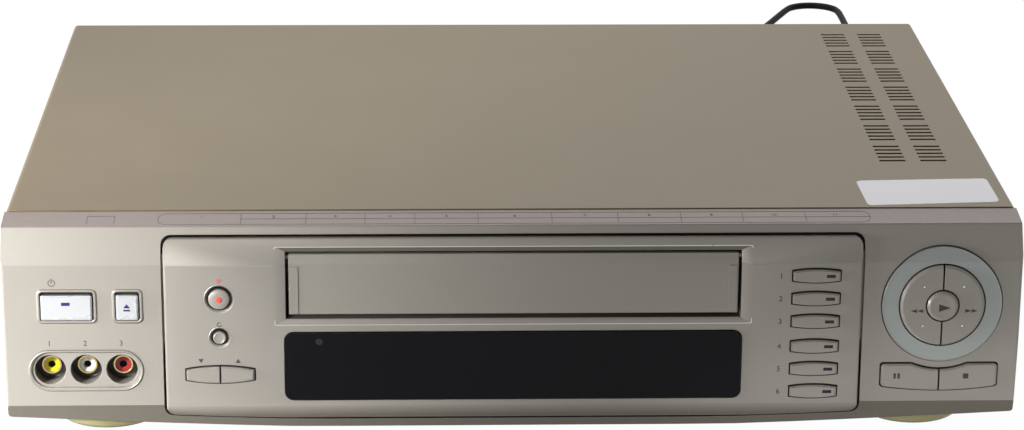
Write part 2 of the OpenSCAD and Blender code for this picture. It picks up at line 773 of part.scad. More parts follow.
module jack_insert(i) {
    in_place() difference() {
        rod_y(insert_r - 0.02, sleeve_d + 0.4, left_board_d, jack_x + i * jack_pitch, jack_z);
        rod_y(socket_r, sleeve_d - 1, left_board_d - 1.5, jack_x + i * jack_pitch, jack_z);
    }
}

module video_insert() {
    color("#e8d21c") jack_insert(-1);
}

module audio_left_insert() {
    color("#f2f0ea") jack_insert(0);
}

module audio_right_insert() {
    color("#b8202c") jack_insert(1);
}

module transport_ring() {
    color("#8f979b") in_place() intersection() {
        along_x(face_slab(-ring_proud, ring_seat, case_h, 0), -half_w, half_w);
        difference() {
            rod_y(ring_r, -5, 9, ring_x, ring_z);
            rod_y(dial_r, -6, 10, ring_x, ring_z);
        }
    }
}

function bezel_r(r) = r + bezel_gap + bezel_w;

// Slopes in from the panel's face towards its button
module bezel(r, z) {
    translate([button_x, -panel_proud + bezel_seat, z]) rotate([90, 0, 0]) rotate_extrude() polygon([
        [r + bezel_gap, 0], [bezel_r(r) - running, 0], [bezel_r(r) - running, bezel_seat],
        [bezel_r(r) - 0.25, bezel_seat + 0.15], [r + bezel_gap + 0.1, 0.3], [r + bezel_gap, 0.2]]);
}

module button_bezels() {
    color("#d5d3cc") in_place() {
        bezel(record_r, record_z);
        bezel(reset_r, reset_z);
    }
}

module front_feet() {
    color("#c9b56a") in_place() for (x = [-foot_x, foot_x])
        translate([x, front_foot_d, 0]) rotate_extrude() polygon(rounded([[0, 1.5], [15, 1.5],
            [15, 0.4], [foot_r - 0.6, 0.4], [foot_r, 1.4], [foot_r - 0.6, pan_z - 3], [foot_r - 2.6, pan_z],
            [foot_pin_r - running, pan_z], [foot_pin_r - running, pan_z + pan_t + 2], [0, pan_z + pan_t + 2]],
            [0, 0, 0, 0.4, 0.5, 2, 0.8, 0, 0, 0]));
}

module rear_feet() {
    color(black) in_place() {
        for (x = [-foot_x, foot_x]) {
            translate([x, rear_foot_d, 0]) rotate_extrude() polygon(rounded([[0, 0], [13, 0],
                [15, pan_z], [foot_pin_r - running, pan_z], [foot_pin_r - running, pan_z + pan_t + 2],
                [0, pan_z + pan_t + 2]], [0, 1, 0, 0, 0, 0]));
            translate([x, front_foot_d, 0]) rotate_extrude() polygon(rounded([[0, 0],
                [14.5, 0], [14.5, 1.5], [0, 1.5]], [0, 0.8, 0, 0]));
        }
    }
}

module left_board() {
    color(board) in_place() {
        block(-half_w + wall + 3, left_edge, left_board_d, left_board_d + board_t, tuck_z + wall + 1.5,
            edge_z - 11.4);
        for (h = [power_hole, eject_hole])
            switch((h[0][0] + h[2][0]) / 2, (h[0][1] + h[2][1]) / 2, left_board_d);
    }
}

module right_board() {
    color(board) in_place() {
        block(panel_w / 2 + 5, half_w - wall - 3, right_board_d, right_board_d + board_t,
            tuck_z + wall + 1.5, edge_z - 9.4);
        switch(ring_x, ring_z, right_board_d);
        for (x = [-12, 12], z = [ring_z, pause_z]) switch(ring_x + x, z, right_board_d);
    }
}

// Tape deck

module slot_x(x0, x1, d0, d1, z, w) {
    block(x0, x1, d0, d1, z - w / 2, z + w / 2);
    rod_x(w / 2, x0, x1, d0, z);
    rod_x(w / 2, x0, x1, d1, z);
}

module deck_plate() {
    color(steel) in_place() {
        difference() {
            union() {
                block(-deck_half, deck_half, deck_d0, deck_d1, deck_z, deck_z + deck_t);
                rod_z(5, deck_z - 1.4, deck_z + 11, capstan_x, capstan_d);
            }
            rod_z(capstan_r + running, 0, deck_z + 20, capstan_x, capstan_d);
            for (x = [-1, 1]) rod_z(5, deck_z - 1, deck_z + 5, x * 20, 105);
        }
        for (x = [-1, 1]) rod_z(spindle_r, deck_z + 0.5, reel_z + 9, x * reel_pitch / 2, reel_d);
    }
}

module side_brackets() {
    color("#a9abab") in_place() both_sides() difference() {
        union() {
            block(bracket_x, bracket_x + 1.2, bracket_d0, bracket_d1, deck_top, case_h - 9.7);
            block(bracket_x, bracket_x + 6, deck_d0 + 2, bracket_d1, deck_top, deck_top + 1.2);
        }
        slot_x(bracket_x - 1, bracket_x + 2, slider_pins[0], slider_pins[1] + draw_in, slider_pin_z,
            2 * (2 + running));
        block(bracket_x - 1, bracket_x + 2, bracket_d0 - 1, deck_d0 - 4, deck_top - 1, 38);
    }
}

module in_drum_frame() {
    in_place() translate([drum_x, drum_d, drum_z]) rotate([0, -drum_tilt, 0]) children();
}

module lower_drum() {
    color("#cfd1d2") {
        in_place() translate([drum_x, drum_d, deck_top]) cylinder(r = 23, h = drum_z - deck_top + 2);
        in_drum_frame() difference() {
            union() {
                cylinder(r = drum_r, h = 14);
                cylinder(r = 3, h = 25);
            }
            translate([0, 0, -0.1]) difference() {
                cylinder(r = drum_r + 1, h = 1.5);
                cylinder(r = drum_r - 1, h = 1.5);
            }
        }
    }
}

module upper_drum() {
    color("#dcdedf") in_drum_frame() difference() {
        union() {
            translate([0, 0, 14.3]) cylinder(r = drum_r, h = 12);
            translate([0, 0, 26.2]) cylinder(r = 9, h = 3);
        }
        translate([0, 0, 14]) cylinder(r = 3 + running, h = 12);
        for (a = [0 : 90 : 270]) rotate(a) translate([drum_r - 2, -3, 14]) cube([4, 6, 2]);
        translate([0, 0, 23.6]) difference() {
            cylinder(r = drum_r - 3, h = 5);
            translate([0, 0, -1]) cylinder(r = 12, h = 7);
        }
    }
}

module capstan() {
    color("#b9bbbd") in_place() {
        rod_z(capstan_r, fly_z, deck_z + 32, capstan_x, capstan_d);
        difference() {
            union() {
                rod_z(21, fly_z, fly_z + 5, capstan_x, capstan_d);
                rod_z(8, fly_z + 4.9, deck_z - 1.7, capstan_x, capstan_d);
            }
            for (a = [0 : 60 : 300])
                rod_z(3, fly_z - 1, fly_z + 6, capstan_x + 14 * cos(a), capstan_d + 14 * sin(a));
        }
    }
}

module reel(side) {
    x = side * reel_pitch / 2;
    in_place() difference() {
        union() {
            rod_z(17, reel_z, reel_z + 3, x, reel_d);
            rod_z(9, reel_z + 2.9, reel_z + 5, x, reel_d);
            rod_z(4.8, reel_z + 4.9, reel_z + 14, x, reel_d);
            for (a = [0 : 120 : 240]) translate([x, reel_d, reel_z + 4.9]) rotate(a)
                translate([0, -0.9, 0]) cube([7, 1.8, 7.5]);
        }
        rod_z(spindle_r + running, reel_z - 1, reel_z + 9.5, x, reel_d);
    }
}

module supply_reel() {
    color(black) reel(-1);
}

module take_up_reel() {
    color(black) reel(1);
}

module lift_slider() {
    color("#d8c98a") in_place() {
        both_sides() {
            difference() {
                block(slider_x, slider_x + 1.5, slider_pins[0] - 11, slider_pins[1] + 13, slider_pin_z - 6,
                    slider_top);
                for (d = basket_pins) {
                    block(slider_x - 1, slider_x + 3, d - 1.5 - running, d + 1.5 + running,
                        basket_pin_z - drop, basket_pin_z);
                    for (z = [basket_pin_z - drop, basket_pin_z])
                        rod_x(1.5 + running, slider_x - 1, slider_x + 3, d, z);
                }
            }
            for (d = slider_pins) rod_x(2, slider_x + 1.4, bracket_x + 1.2, d, slider_pin_z);
        }
        rod_x(1.5, -slider_x - 0.5, slider_x + 0.5, slider_pins[1] + 8, slider_top - 2.5);
    }
}

module cassette_basket() {
    half = basket_half;
    color("#c8cacb") in_place() {
        difference() {
            block(-half, half, basket_d0, basket_d1, basket_z, basket_z + basket_h);
            block(-half + 1, half - 1, basket_d0 - 1, basket_d1 - 1, basket_z + 0.8,
                basket_z + basket_h - 0.8);
            block(-half + 22, half - 22, basket_d0 - 1, basket_d1 + 1, basket_z - 1,
                basket_z + basket_h - 0.8);
            for (x = [-1, 1]) block(x * 50 - 25, x * 50 + 25, basket_d0 + 25, basket_d1 - 20,
                basket_z + basket_h - 2, basket_z + basket_h + 1);
        }
        both_sides() for (d = basket_pins) rod_x(1.5, half - 0.1, slider_x + 1.4, d, basket_pin_z);
    }
}

module tape_guides() {
    color("#d6d8d9") in_place() for (p = guide_places) {
        rod_z(4, deck_top, deck_top + 3, p[0], p[1]);
        rod_z(1.5, deck_top, deck_top + 24, p[0], p[1]);
        rod_z(3, deck_top + 23, deck_top + 26, p[0], p[1]);
        rod_z(2.5, deck_top + 6, deck_top + 20, p[0], p[1]);
    }
}

module audio_head() {
    color("#8b8d90") in_place() {
        block(head_x - 6, head_x + 6, head_d - 4, head_d + 6, deck_top, deck_top + 4);
        block(head_x - 2, head_x + 2, head_d, head_d + 4, deck_top + 3.9, deck_top + 9);
        difference() {
            block(head_x - 5, head_x + 5, head_d - 3, head_d + 5, deck_top + 8.9, deck_top + 25);
            block(head_x - 2, head_x + 2, head_d - 4, head_d - 2.6, deck_top + 10, deck_top + 24);
        }
    }
}

// Circuit boards and supply

module main_board() {
    w = main_x1 - main_x0;
    color(board) in_place() {
        block(main_x0, main_x1, board_d0, board_d1, floor_board_z, floor_board_z + board_t);
        for (i = [0 : 3], x = main_x0 + 10 + i * (w - 10) / 4)
            block(x, x + 14, 90, 118, on_board - eps, on_board + 3);
        for (i = [0 : 2], x = main_x0 + 12 + i * (w - 12) / 3)
            block(x, x + 18, 150, 160, on_board - eps, on_board + 4);
        for (i = [0 : 5])
            rod_z(4, on_board - eps, on_board + 12, main_x0 + 12 + i * (w - 12) / 6,
                board_d1 - 111 + (i % 2) * 14);
        block(main_x0 + 20, main_x1 - 20, board_d1 - 81, board_d1 - 56, on_board - eps, on_board + 16);
        block(main_x1 - 5, main_x1 - 1, 95, 146, on_board - eps, on_board + 8);
    }
}

module power_board() {
    color("#a58a4f") in_place() {
        block(power_x0, power_x1, board_d0, board_d1, floor_board_z, floor_board_z + board_t);
        for (i = [0 : 2]) rod_z(9, on_board - eps, on_board + 30, power_x0 + 16, 90 + i * 24);
        for (i = [0 : 7], x = power_x0 + 34 + i * (power_x1 - power_x0 - 53) / 7)
            block(x, x + 2, 100, 150, on_board + 2.9, on_board + 34);
        block(power_x0 + 32, power_x1 - 14, 100, 150, on_board - eps, on_board + 3);
        rod_x(3, power_x0 + 10, power_x0 + 30, board_d1 - 21, on_board + 2.8);
        block(power_x0 + 20, power_x0 + 40, board_d1 - 46, board_d1 - 34, on_board - eps, on_board + 10);
    }
}

module transformer() {
    x = power_x1 - 60;
    color("#6e6a5e") in_place() {
        difference() {
            block(x, x + 50, 195, 215, on_board, on_board + 42);
            for (s = [8, 32]) block(x + s, x + s + 10, 194, 216, on_board + 8, on_board + 34);
        }
        difference() {
            block(x + 9, x + 41, 188, 222, on_board + 8.5, on_board + 33.5);
            block(x + 17.5, x + 32.5, 187, 223, on_board + 8, on_board + 34);
        }
    }
}

module tuner_box() {
    color("#cfcfca") in_place() block(aerial_x - 22, aerial_x + 22, rear_d - 55.2, rear_d - rear_t, on_board,
        on_board + 42);
}

module rear_jack_block() {
    block_d = rear_d - 17.2;
    color(black) in_place() {
        block(rear_jack_x[0] - 9, rear_jack_x[2] + 9, block_d, rear_d - rear_t, on_board,
            rear_jack_z[1] + 10);
        block(rear_jack_x[0] - 7, rear_jack_x[2] + 7, block_d - 3, block_d + eps, on_board, rear_jack_z[0]);
    }
}

module rear_jack_sleeves() {
    color("#d7d2c0") in_place() {
        for (x = rear_jack_x, z = rear_jack_z) difference() {
            rod_y(sleeve_r, rear_d - rear_t, rear_reach, x, z);
            difference() {
                rod_y(sleeve_r - 0.7, rear_d + 1, rear_reach + 1, x, z);
                rod_y(2.6, rear_d, rear_reach - 0.6, x, z);
            }
            rod_y(socket_r, rear_d, rear_reach + 1, x, z);
        }
        for (z = aerial_z) difference() {
            rod_y(aerial_r, rear_d - rear_t, rear_reach, aerial_x, z);
            rod_y(aerial_socket_r, rear_d + 1, rear_reach + 1, aerial_x, z);
        }
    }
}

// Mains lead

function route_end() = [coil_x + coil_out, coil_y + cord_d, table_gap + cord_d / 2];
function gland_tip() = [gland_x, face_y + rear_d + gland_l, gland_z];

// A smooth curve through the points, with n rings to a span
function curve(pts, n) = let (last = len(pts) - 1) concat(
    [for (i = [0 : last - 1], k = [0 : n - 1]) let (
        t = k / n,
        a = i == 0 ? 2 * pts[0] - pts[1] : pts[i - 1],
        b = pts[i],
        c = pts[i + 1],
        d = i == last - 1 ? 2 * pts[last] - pts[last - 1] : pts[i + 2]
    ) 0.5 * (2 * b + (c - a) * t + (2 * a - 5 * b + 4 * c - d) * t * t + (3 * b - a - 3 * c + d) * t * t * t)],
    [pts[last]]);

function tube_rings(pts, r, sides, first, last) = let (n = len(pts)) [for (i = [0 : n - 1]) let (
    along = i == 0 ? first : i == n - 1 ? last : unit(pts[i + 1] - pts[i - 1]),
    side = unit(cross(along, [0, 0, 1])),
    up = cross(side, along)
) each [for (k = [0 : sides - 1]) pts[i] + r * (side * cos(360 * k / sides) + up * sin(360 * k / sides))]];

module tube(pts, r, sides, first, last) {
    n = len(pts);
    polyhedron(tube_rings(pts, r, sides, first, last), concat(
        [[for (k = [0 : sides - 1]) k]],
        [for (i = [0 : n - 2], k = [0 : sides - 1]) [i * sides + k, (i + 1) * sides + k,
            (i + 1) * sides + (k + 1) % sides]],
        [for (i = [0 : n - 2], k = [0 : sides - 1]) [i * sides + k,
            (i + 1) * sides + (k + 1) % sides, i * sides + (k + 1) % sides]],
        [[for (k = [0 : sides - 1]) n * sides - 1 - k]]), convexity = 10);
}

module cord_gland() {
    color(black) in_place() translate([gland_x, rear_d, gland_z]) rotate([-90, 0, 0]) rotate_extrude()
        polygon([[0, -4], [gland_r + 1.6, -4], [gland_r + 1.6, -rear_t - 0.2], [gland_r, -rear_t - 0.2],
            [gland_r, 0], [gland_r + 2, 0], [gland_r + 2, 2], [4.6, 3.5], [4.4, 9], [3.6, 9.6], [4.2, 11],
            [4, 16], [3.3, 16.6], [3.7, 18], [3.4, 22], [2.7, gland_l], [0, gland_l]]);
}

module mains_cord() {
    points = concat([gland_tip(), gland_tip() + [0, 10, -0.4]], cord_route, [route_end() + [0.6, 30, 0],
        route_end()]);
    color(black) tube(curve(points, 2), cord_d / 2, 8, [0, 1, 0], [0, -1, 0]);
}

// The coil: spirals in on the table, climbs, and spirals out again on top
function coil_radius(t) = t < coil_run ? coil_out - coil_pitch * t
    : t < coil_run + 0.5 ? coil_in - coil_dip * sin(360 * (t - coil_run))
    : coil_out - coil_pitch * (2 * coil_run + 0.5 - t);
function coil_height(t) = table_gap + cord_d / 2 + coil_pitch * min(1, max(0, (t - coil_run) / 0.5));
function coil_point(t) = [coil_x + coil_radius(t) * cos(-360 * t), coil_y + coil_radius(t) * sin(-360 * t),
    coil_height(t)];
coil_line = concat([route_end()], [for (i = [0 : coil_rings * coil_turns]) coil_point(i / coil_rings)],
    [coil_point(coil_turns) - [8, 0, -0.1], coil_point(coil_turns) - [16, 0, -0.25], plug_start()]);
function plug_start() = [coil_x - 24, coil_y - coil_out, plug_t / 2];

module cord_coil() {
    gaps = [for (i = [0 : len(coil_line) - 1], j = [i + 12 : 3 : len(coil_line) - 1])
        norm(coil_line[i] - coil_line[j]) - cord_d];
    echo(least_gap_of_coil_to_itself = min(gaps));
    color(black) tube(coil_line, cord_d / 2, 6, [0, -1, 0], [-1, 0, 0]);
}

module mains_plug() {
    color(black) {
        translate(plug_start()) rotate([0, -90, 0]) rotate_extrude()
            polygon([[0, 0], [2.8, 0], [3.8, 11], [0, 11]]);
        difference() {
            translate(plug_start() - [0, 0, plug_t / 2]) linear_extrude(plug_t) polygon(rounded([[-10.9, -7],
                [-10.9, 7], [-18, 12], [-26, 17.5], [-36, 17.5], [-36, -17.5], [-26, -17.5], [-18, -12]],
                [2, 2, 4, 4, 1.5, 1.5, 4, 4]));
            for (s = [-1, 1]) translate(plug_start() + [-30, s * 20, 0])
                cylinder(r = 4, h = plug_t * 2, center = true);
        }
    }
    color("silver") for (s = [-1, 1]) translate(plug_start() + [-35.9, s * 9.3, 0]) rotate([0, -90, 0])
        cylinder(r = 2, h = 19);
}

// Moving pieces of the front

module cassette_door() {
    half = opening_w / 2 - door_gap;
    low = opening_z + door_gap_low;
    high = opening_top - door_gap_top;
    color(finish) in_place() {
        along_x(rounded([[door_set + face_d(high), high], [door_set, crease_z], [door_set, low],
            [door_set + door_t, low], [door_set + door_t, crease_z - 0.4],
            [door_set + face_d(high) + door_t, high]], [0.6, 3, 0.6, 0.4, 2, 0]), -half, half);
        rod_x(hinge_r, -half, half, pivot_d, pivot_z);
        rod_x(pin_r, -half - door_gap - tunnel + 0.3, half + door_gap + tunnel - 0.3, pivot_d, pivot_z);
        both_sides() along_y(door_set - 0.4, door_set + 1) polygon(rounded(rect(half - strip_w, low + 0.6,
            half - 0.4, crease_z - 1.2), 0.4));
    }
}

// A rectangular key: cap through the wall, flange behind it, stem to its switch
module key(hole, board_at) {
    x0 = hole[0][0] + key_gap;
    z0 = hole[0][1] + key_gap;
    x1 = hole[2][0] - key_gap;
    z1 = hole[2][1] - key_gap_top;
    x = (x0 + x1) / 2;
    z = (z0 + z1) / 2;
    in_place() {
        along_y(-proud, wall + clear + eps) polygon(rounded(rect(x0, z0, x1, z1), 0.8));
        along_y(-proud - 0.4, -proud + eps)
            polygon(rounded(rect(x0 + 0.5, z0 + 0.5, x1 - 0.5, z1 - 0.5), 0.6));
        along_y(wall + clear, wall + clear + 1) polygon(rect(hole[0][0] - 0.8, hole[0][1] - 0.8,
            hole[2][0] + 0.8, hole[2][1] + 0.8));
        rod_y(2, wall + clear, stem_end(board_at), x, z);
    }
}

module power_button() {
    color("#eceef0") key(power_hole, left_board_d);
}

module eject_button() {
    color("#eceef0") key(eject_hole, left_board_d);
}

// A round button of the panel, its face domed by crown, or dished where that is below zero
module round_button(r, z, crown) {
    in_place() translate([button_x, 0, z]) rotate([90, 0, 0]) rotate_extrude() polygon([
        [0, -stem_end(board_d)], [1.8, -stem_end(board_d)], [1.8, -panel_in - clear - 1],
        [r + bezel_gap + 0.9, -panel_in - clear - 1], [r + bezel_gap + 0.9, -panel_in - clear],
        [r, -panel_in - clear], [r, panel_proud + 0.5], [r - 0.4, panel_proud + 0.9],
        [r * 0.6, panel_proud + 0.9 + crown * 0.75], [0, panel_proud + 0.9 + crown]]);
}

module record_button() {
    color("#d8d6cf") round_button(record_r, record_z, proud - 0.7);
}

module reset_button() {
    color("#d8d6cf") round_button(reset_r, reset_z, -0.4);
}

module channel_button(side) {
    in_place() {
        intersection() {
            union() {
                along_y(-panel_proud - proud + 0.4, panel_in + clear + eps) polygon(lens(button_x, channel_z,
                    channel_half - fit, channel_end - fit, channel_mid - fit));
                along_y(-panel_proud - proud, panel_in) polygon(lens(button_x, channel_z,
                    channel_half - fit - 0.5, channel_end - fit - 0.4, channel_mid - fit - 0.4));
                along_y(panel_in + clear, panel_in + clear + 1) polygon(lens(button_x, channel_z,
                    channel_half + 0.9, channel_end + 0.7, channel_mid + 0.7));
            }
            block(side < 0 ? button_x - 40 : button_x + split / 2,
                side < 0 ? button_x - split / 2 : button_x + 40, -10, 20, 0, 60);
        }
        rod_y(1.8, panel_in + clear, stem_end(board_d), button_x + side * channel_half / 2, channel_z);
    }
}

module channel_down_button() {
    color("#c9c7bd") channel_button(-1);
}

module channel_up_button() {
    color("#c9c7bd") channel_button(1);
}

module output_button(i) {
    z = output_at(i);
    color("#c9c7bd") in_place() {
        along_y(-panel_proud - proud + 0.4, panel_in + clear + eps) polygon(lens(output_x, z,
            output_half - fit, output_end - fit, output_mid - fit));
        along_y(-panel_proud - proud, panel_in) polygon(lens(output_x, z, output_half - fit - 0.5,
            output_end - fit - 0.4, output_mid - fit - 0.4));
        along_y(panel_in + clear, panel_in + clear + 1) polygon(lens(output_x, z, output_half + 0.8,
            output_end + collar, output_mid + collar));
        rod_y(1.8, panel_in + clear, stem_end(board_d), output_x, z);
    }
}

module output_button_1() {
    output_button(0);
}

module output_button_2() {
    output_button(1);
}

module output_button_3() {
    output_button(2);
}

module output_button_4() {
    output_button(3);
}

module output_button_5() {
    output_button(4);
}

module output_button_6() {
    output_button(5);
}

// Half of the dial: the rewind side is -1, the forward side is 1
module dial_button(side) {
    color("#a9a49b") in_place() {
        translate([ring_x, 0, ring_z]) rotate([90, 0, 0]) intersection() {
            rotate_extrude() polygon([[play_r + fit, -dial_back], [dial_r + 1, -dial_back],
                [dial_r + 1, -ring_seat - clear], [dial_r - fit, -ring_seat - clear],
                [dial_r - fit, ring_proud + proud - 0.9], [dial_r - fit - 1.1, ring_proud + proud],
                [play_r + fit, ring_proud + proud]]);
            translate([side < 0 ? -50 : split / 2, -50, -20]) cube([50 - split / 2, 100, 40]);
        }
        rod_y(1.8, dial_back - eps, stem_end(right_board_d), ring_x + side * 12, ring_z);
    }
}

module rewind_button() {
    dial_button(-1);
}

module forward_button() {
    dial_button(1);
}

module play_button() {
    color("#c2beb4") in_place() translate([ring_x, 0, ring_z]) rotate([90, 0, 0]) rotate_extrude() polygon([
        [0, -stem_end(right_board_d)], [2, -stem_end(right_board_d)], [2, -play_back - 0.8],
        [play_r + 1.4, -play_back - 0.8], [play_r + 1.4, -play_back], [play_r, -play_back],
        [play_r, play_proud - 1], [play_r - 0.9, play_proud - 0.1], [play_r - 1.4, play_proud],
        [play_r / 2, play_proud - 0.2],
        [0, play_proud - 0.25]]);
}

module pause_stop_button(side) {
    color("#a39c94") in_place() {
        intersection() {
            union() {
                along_y(-proud + 0.4, wall + clear + eps) pause_stop_shape(fit);
                along_y(-proud, wall) pause_stop_shape(fit + 0.5);
                along_y(wall + clear, wall + clear + 1) polygon(rect(ring_x - pause_half - 0.9, pause_low - 1,
                    ring_x + pause_half + 0.9, pause_z + 3));
            }
            block(side < 0 ? ring_x - 40 : ring_x + split / 2, side < 0 ? ring_x - split / 2 : ring_x + 40,
                -10, 20, 0, 60);
        }
        rod_y(1.8, wall + clear, stem_end(right_board_d), ring_x + side * 12, pause_z);
    }
}

module pause_button() {
    pause_stop_button(-1);
}

module stop_button() {
    pause_stop_button(1);
}

bottom_pan();
top_cover();
rear_panel();
cover_screws();
fascia();
centre_panel();
display_window();
display_board();
display_tube();
jack_plate();
jack_sleeves();
video_insert();
audio_left_insert();
audio_right_insert();
transport_ring();
button_bezels();
front_feet();
rear_feet();
left_board();
right_board();
deck_plate();
side_brackets();
lower_drum();
upper_drum();
capstan();
supply_reel();
take_up_reel();
lift_slider();
cassette_basket();
tape_guides();
audio_head();
main_board();
power_board();
transformer();
tuner_box();
rear_jack_block();
rear_jack_sleeves();
cord_gland();
mains_cord();
cord_coil();
mains_plug();
cassette_door();
power_button();
eject_button();
record_button();
reset_button();
channel_down_button();
channel_up_button();
output_button_1();
output_button_2();
output_button_3();
output_button_4();
output_button_5();
output_button_6();
rewind_button();
forward_button();
play_button();
pause_button();
stop_button();
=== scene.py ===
import math

import bpy
from mathutils import Matrix, Vector


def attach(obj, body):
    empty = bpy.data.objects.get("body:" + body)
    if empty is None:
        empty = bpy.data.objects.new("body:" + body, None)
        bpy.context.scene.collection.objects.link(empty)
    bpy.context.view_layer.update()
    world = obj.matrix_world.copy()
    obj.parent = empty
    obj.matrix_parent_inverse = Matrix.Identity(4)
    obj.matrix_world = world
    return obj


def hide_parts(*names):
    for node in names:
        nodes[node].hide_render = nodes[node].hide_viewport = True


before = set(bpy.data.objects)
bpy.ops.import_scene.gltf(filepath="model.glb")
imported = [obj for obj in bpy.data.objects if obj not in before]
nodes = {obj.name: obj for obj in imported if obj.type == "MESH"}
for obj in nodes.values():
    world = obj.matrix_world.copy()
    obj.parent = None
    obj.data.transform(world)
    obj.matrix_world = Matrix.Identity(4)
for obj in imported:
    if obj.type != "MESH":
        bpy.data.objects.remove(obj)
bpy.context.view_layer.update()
scene = bpy.context.scene

# The face of the front moulding, in the shared frame. Depths below are in millimetres behind it.
FACE = -0.1609

# The moulding leans back above its crease, up to the ledge's edge, and tucks under at its foot.
CREASE_Z = 75.8
EDGE_D, EDGE_Z = 4.8, 91.4
TUCK_Z, TUCK_DEPTH, TUCK_HEIGHT = 13, 2.2, 12
LEDGE_RISE, LEDGE_RUN = 1.8, 14.5
COVER_Z = 93.7

# Depths of the faces that carry print
PANEL_D = -1.5
KEY_D = -1.61
DIAL_D = -2.11
PLAY_D = -3.18
PAUSE_D = -1.21

# Places that several marks share
OUTPUT_HEIGHTS = (70.4, 60.2, 50.0, 38.8, 28.6, 18.4)
SOCKETS_X = (-195.6, -180.5, -165.4)
RECORD_X = -123.8
RING_X, RING_Z, RING_RADIUS = 181.3, 56.8, 25.15

FACING_FRONT = (math.radians(90), 0, 0)
SMOOTH_ANGLE = math.radians(35)
WELD = 0.000001


def at(x, depth, z):
    return Vector((x / 1000, FACE + depth / 1000, z / 1000))


# The camera stands where the photograph was taken, a little left of the middle and above.
CAMERA_PLACE = (-43.71, -1274.36, 523.36)
CAMERA_TURNS = (1.919, 18.475, 0.384)
FOCAL_PIXELS, PICTURE_PIXELS, SENSOR_WIDTH = 3221, 1024, 36


def place_camera():
    yaw, pitch, roll = (math.radians(angle) for angle in CAMERA_TURNS)
    ahead = Vector((math.sin(yaw) * math.cos(pitch), math.cos(yaw) * math.cos(pitch), -math.sin(pitch)))
    level = Vector((math.cos(yaw), -math.sin(yaw), 0))
    upward = level.cross(ahead)
    right = level * math.cos(roll) + upward * math.sin(roll)
    up = upward * math.cos(roll) - level * math.sin(roll)
    data = bpy.data.cameras.new("photo_camera")
    data.sensor_fit = "HORIZONTAL"
    data.sensor_width = SENSOR_WIDTH
    data.lens = FOCAL_PIXELS * SENSOR_WIDTH / PICTURE_PIXELS
    data.clip_start = 0.05
    data.clip_end = 20
    camera = bpy.data.objects.new("photo_camera", data)
    scene.collection.objects.link(camera)
    turn = Matrix((right, up, -ahead)).transposed()
    camera.matrix_world = Matrix.Translation(at(*CAMERA_PLACE)) @ turn.to_4x4()
    scene.camera = camera


place_camera()


# Node helpers

def feed(tree, socket, value):
    """Links another node's output to a socket, or sets the socket to a constant."""
    if isinstance(value, bpy.types.NodeSocket):
        tree.links.new(value, socket)
    elif socket.type == "RGBA":
        socket.default_value = (*value[:3], 1)
    else:
        socket.default_value = value


def add(tree, kind, **inputs):
    """A new node; its inputs go by their own names, with _ for a space."""
    node = tree.nodes.new(kind)
    for name, value in inputs.items():
        feed(tree, node.inputs[name.replace("_", " ")], value)
    return node


def math_node(tree, operation, first, second, clamp=False):
    node = tree.nodes.new("ShaderNodeMath")
    node.operation = operation
    node.use_clamp = clamp
    feed(tree, node.inputs[0], first)
    feed(tree, node.inputs[1], second)
    return node.outputs[0]


def ramp(tree, value, low, high, out_low=0.0, out_high=1.0):
    node = add(tree, "ShaderNodeMapRange", Value=value, From_Min=low, From_Max=high,
               To_Min=out_low, To_Max=out_high)
    return node.outputs["Result"]


def blend_colour(tree, mask, first, second):
    node = tree.nodes.new("ShaderNodeMix")
    node.data_type = "RGBA"
    feed(tree, node.inputs["Factor"], mask)
    feed(tree, node.inputs[6], first)
    feed(tree, node.inputs[7], second)
    return node.outputs[2]


def noise(tree, place, scale, detail=4.0, roughness=0.5, stretch=None):
    if stretch:
        place = add(tree, "ShaderNodeMapping", Vector=place, Scale=stretch).outputs[0]
    node = add(tree, "ShaderNodeTexNoise", Vector=place, Scale=scale, Detail=detail, Roughness=roughness)
    return node.outputs[0]


def cleared_tree(owner):
    owner.use_nodes = True
    owner.node_tree.nodes.clear()
    return owner.node_tree


def new_group(name, amounts, masks, normals):
    """A node group: its inputs with their usual amounts, and its outputs by kind."""
    group = bpy.data.node_groups.new(name, "ShaderNodeTree")
    for label, amount in amounts.items():
        socket = group.interface.new_socket(name=label, in_out="INPUT", socket_type="NodeSocketFloat")
        socket.default_value = amount
    for kind, labels in (("NodeSocketFloat", masks), ("NodeSocketVector", normals)):
        for label in labels:
            group.interface.new_socket(name=label, in_out="OUTPUT", socket_type=kind)
    return group, group.nodes.new("NodeGroupInput"), group.nodes.new("NodeGroupOutput")


# Years of use: worn edges, dust on what faces up, mottled paint and fine scratches, as masks; and seams
# and hollows, found by ambient occlusion, as a mask for painted shade.
EDGE_RADIUS, GRAIN_SCALE, SHELTER = 0.0004, 900.0, 0.003


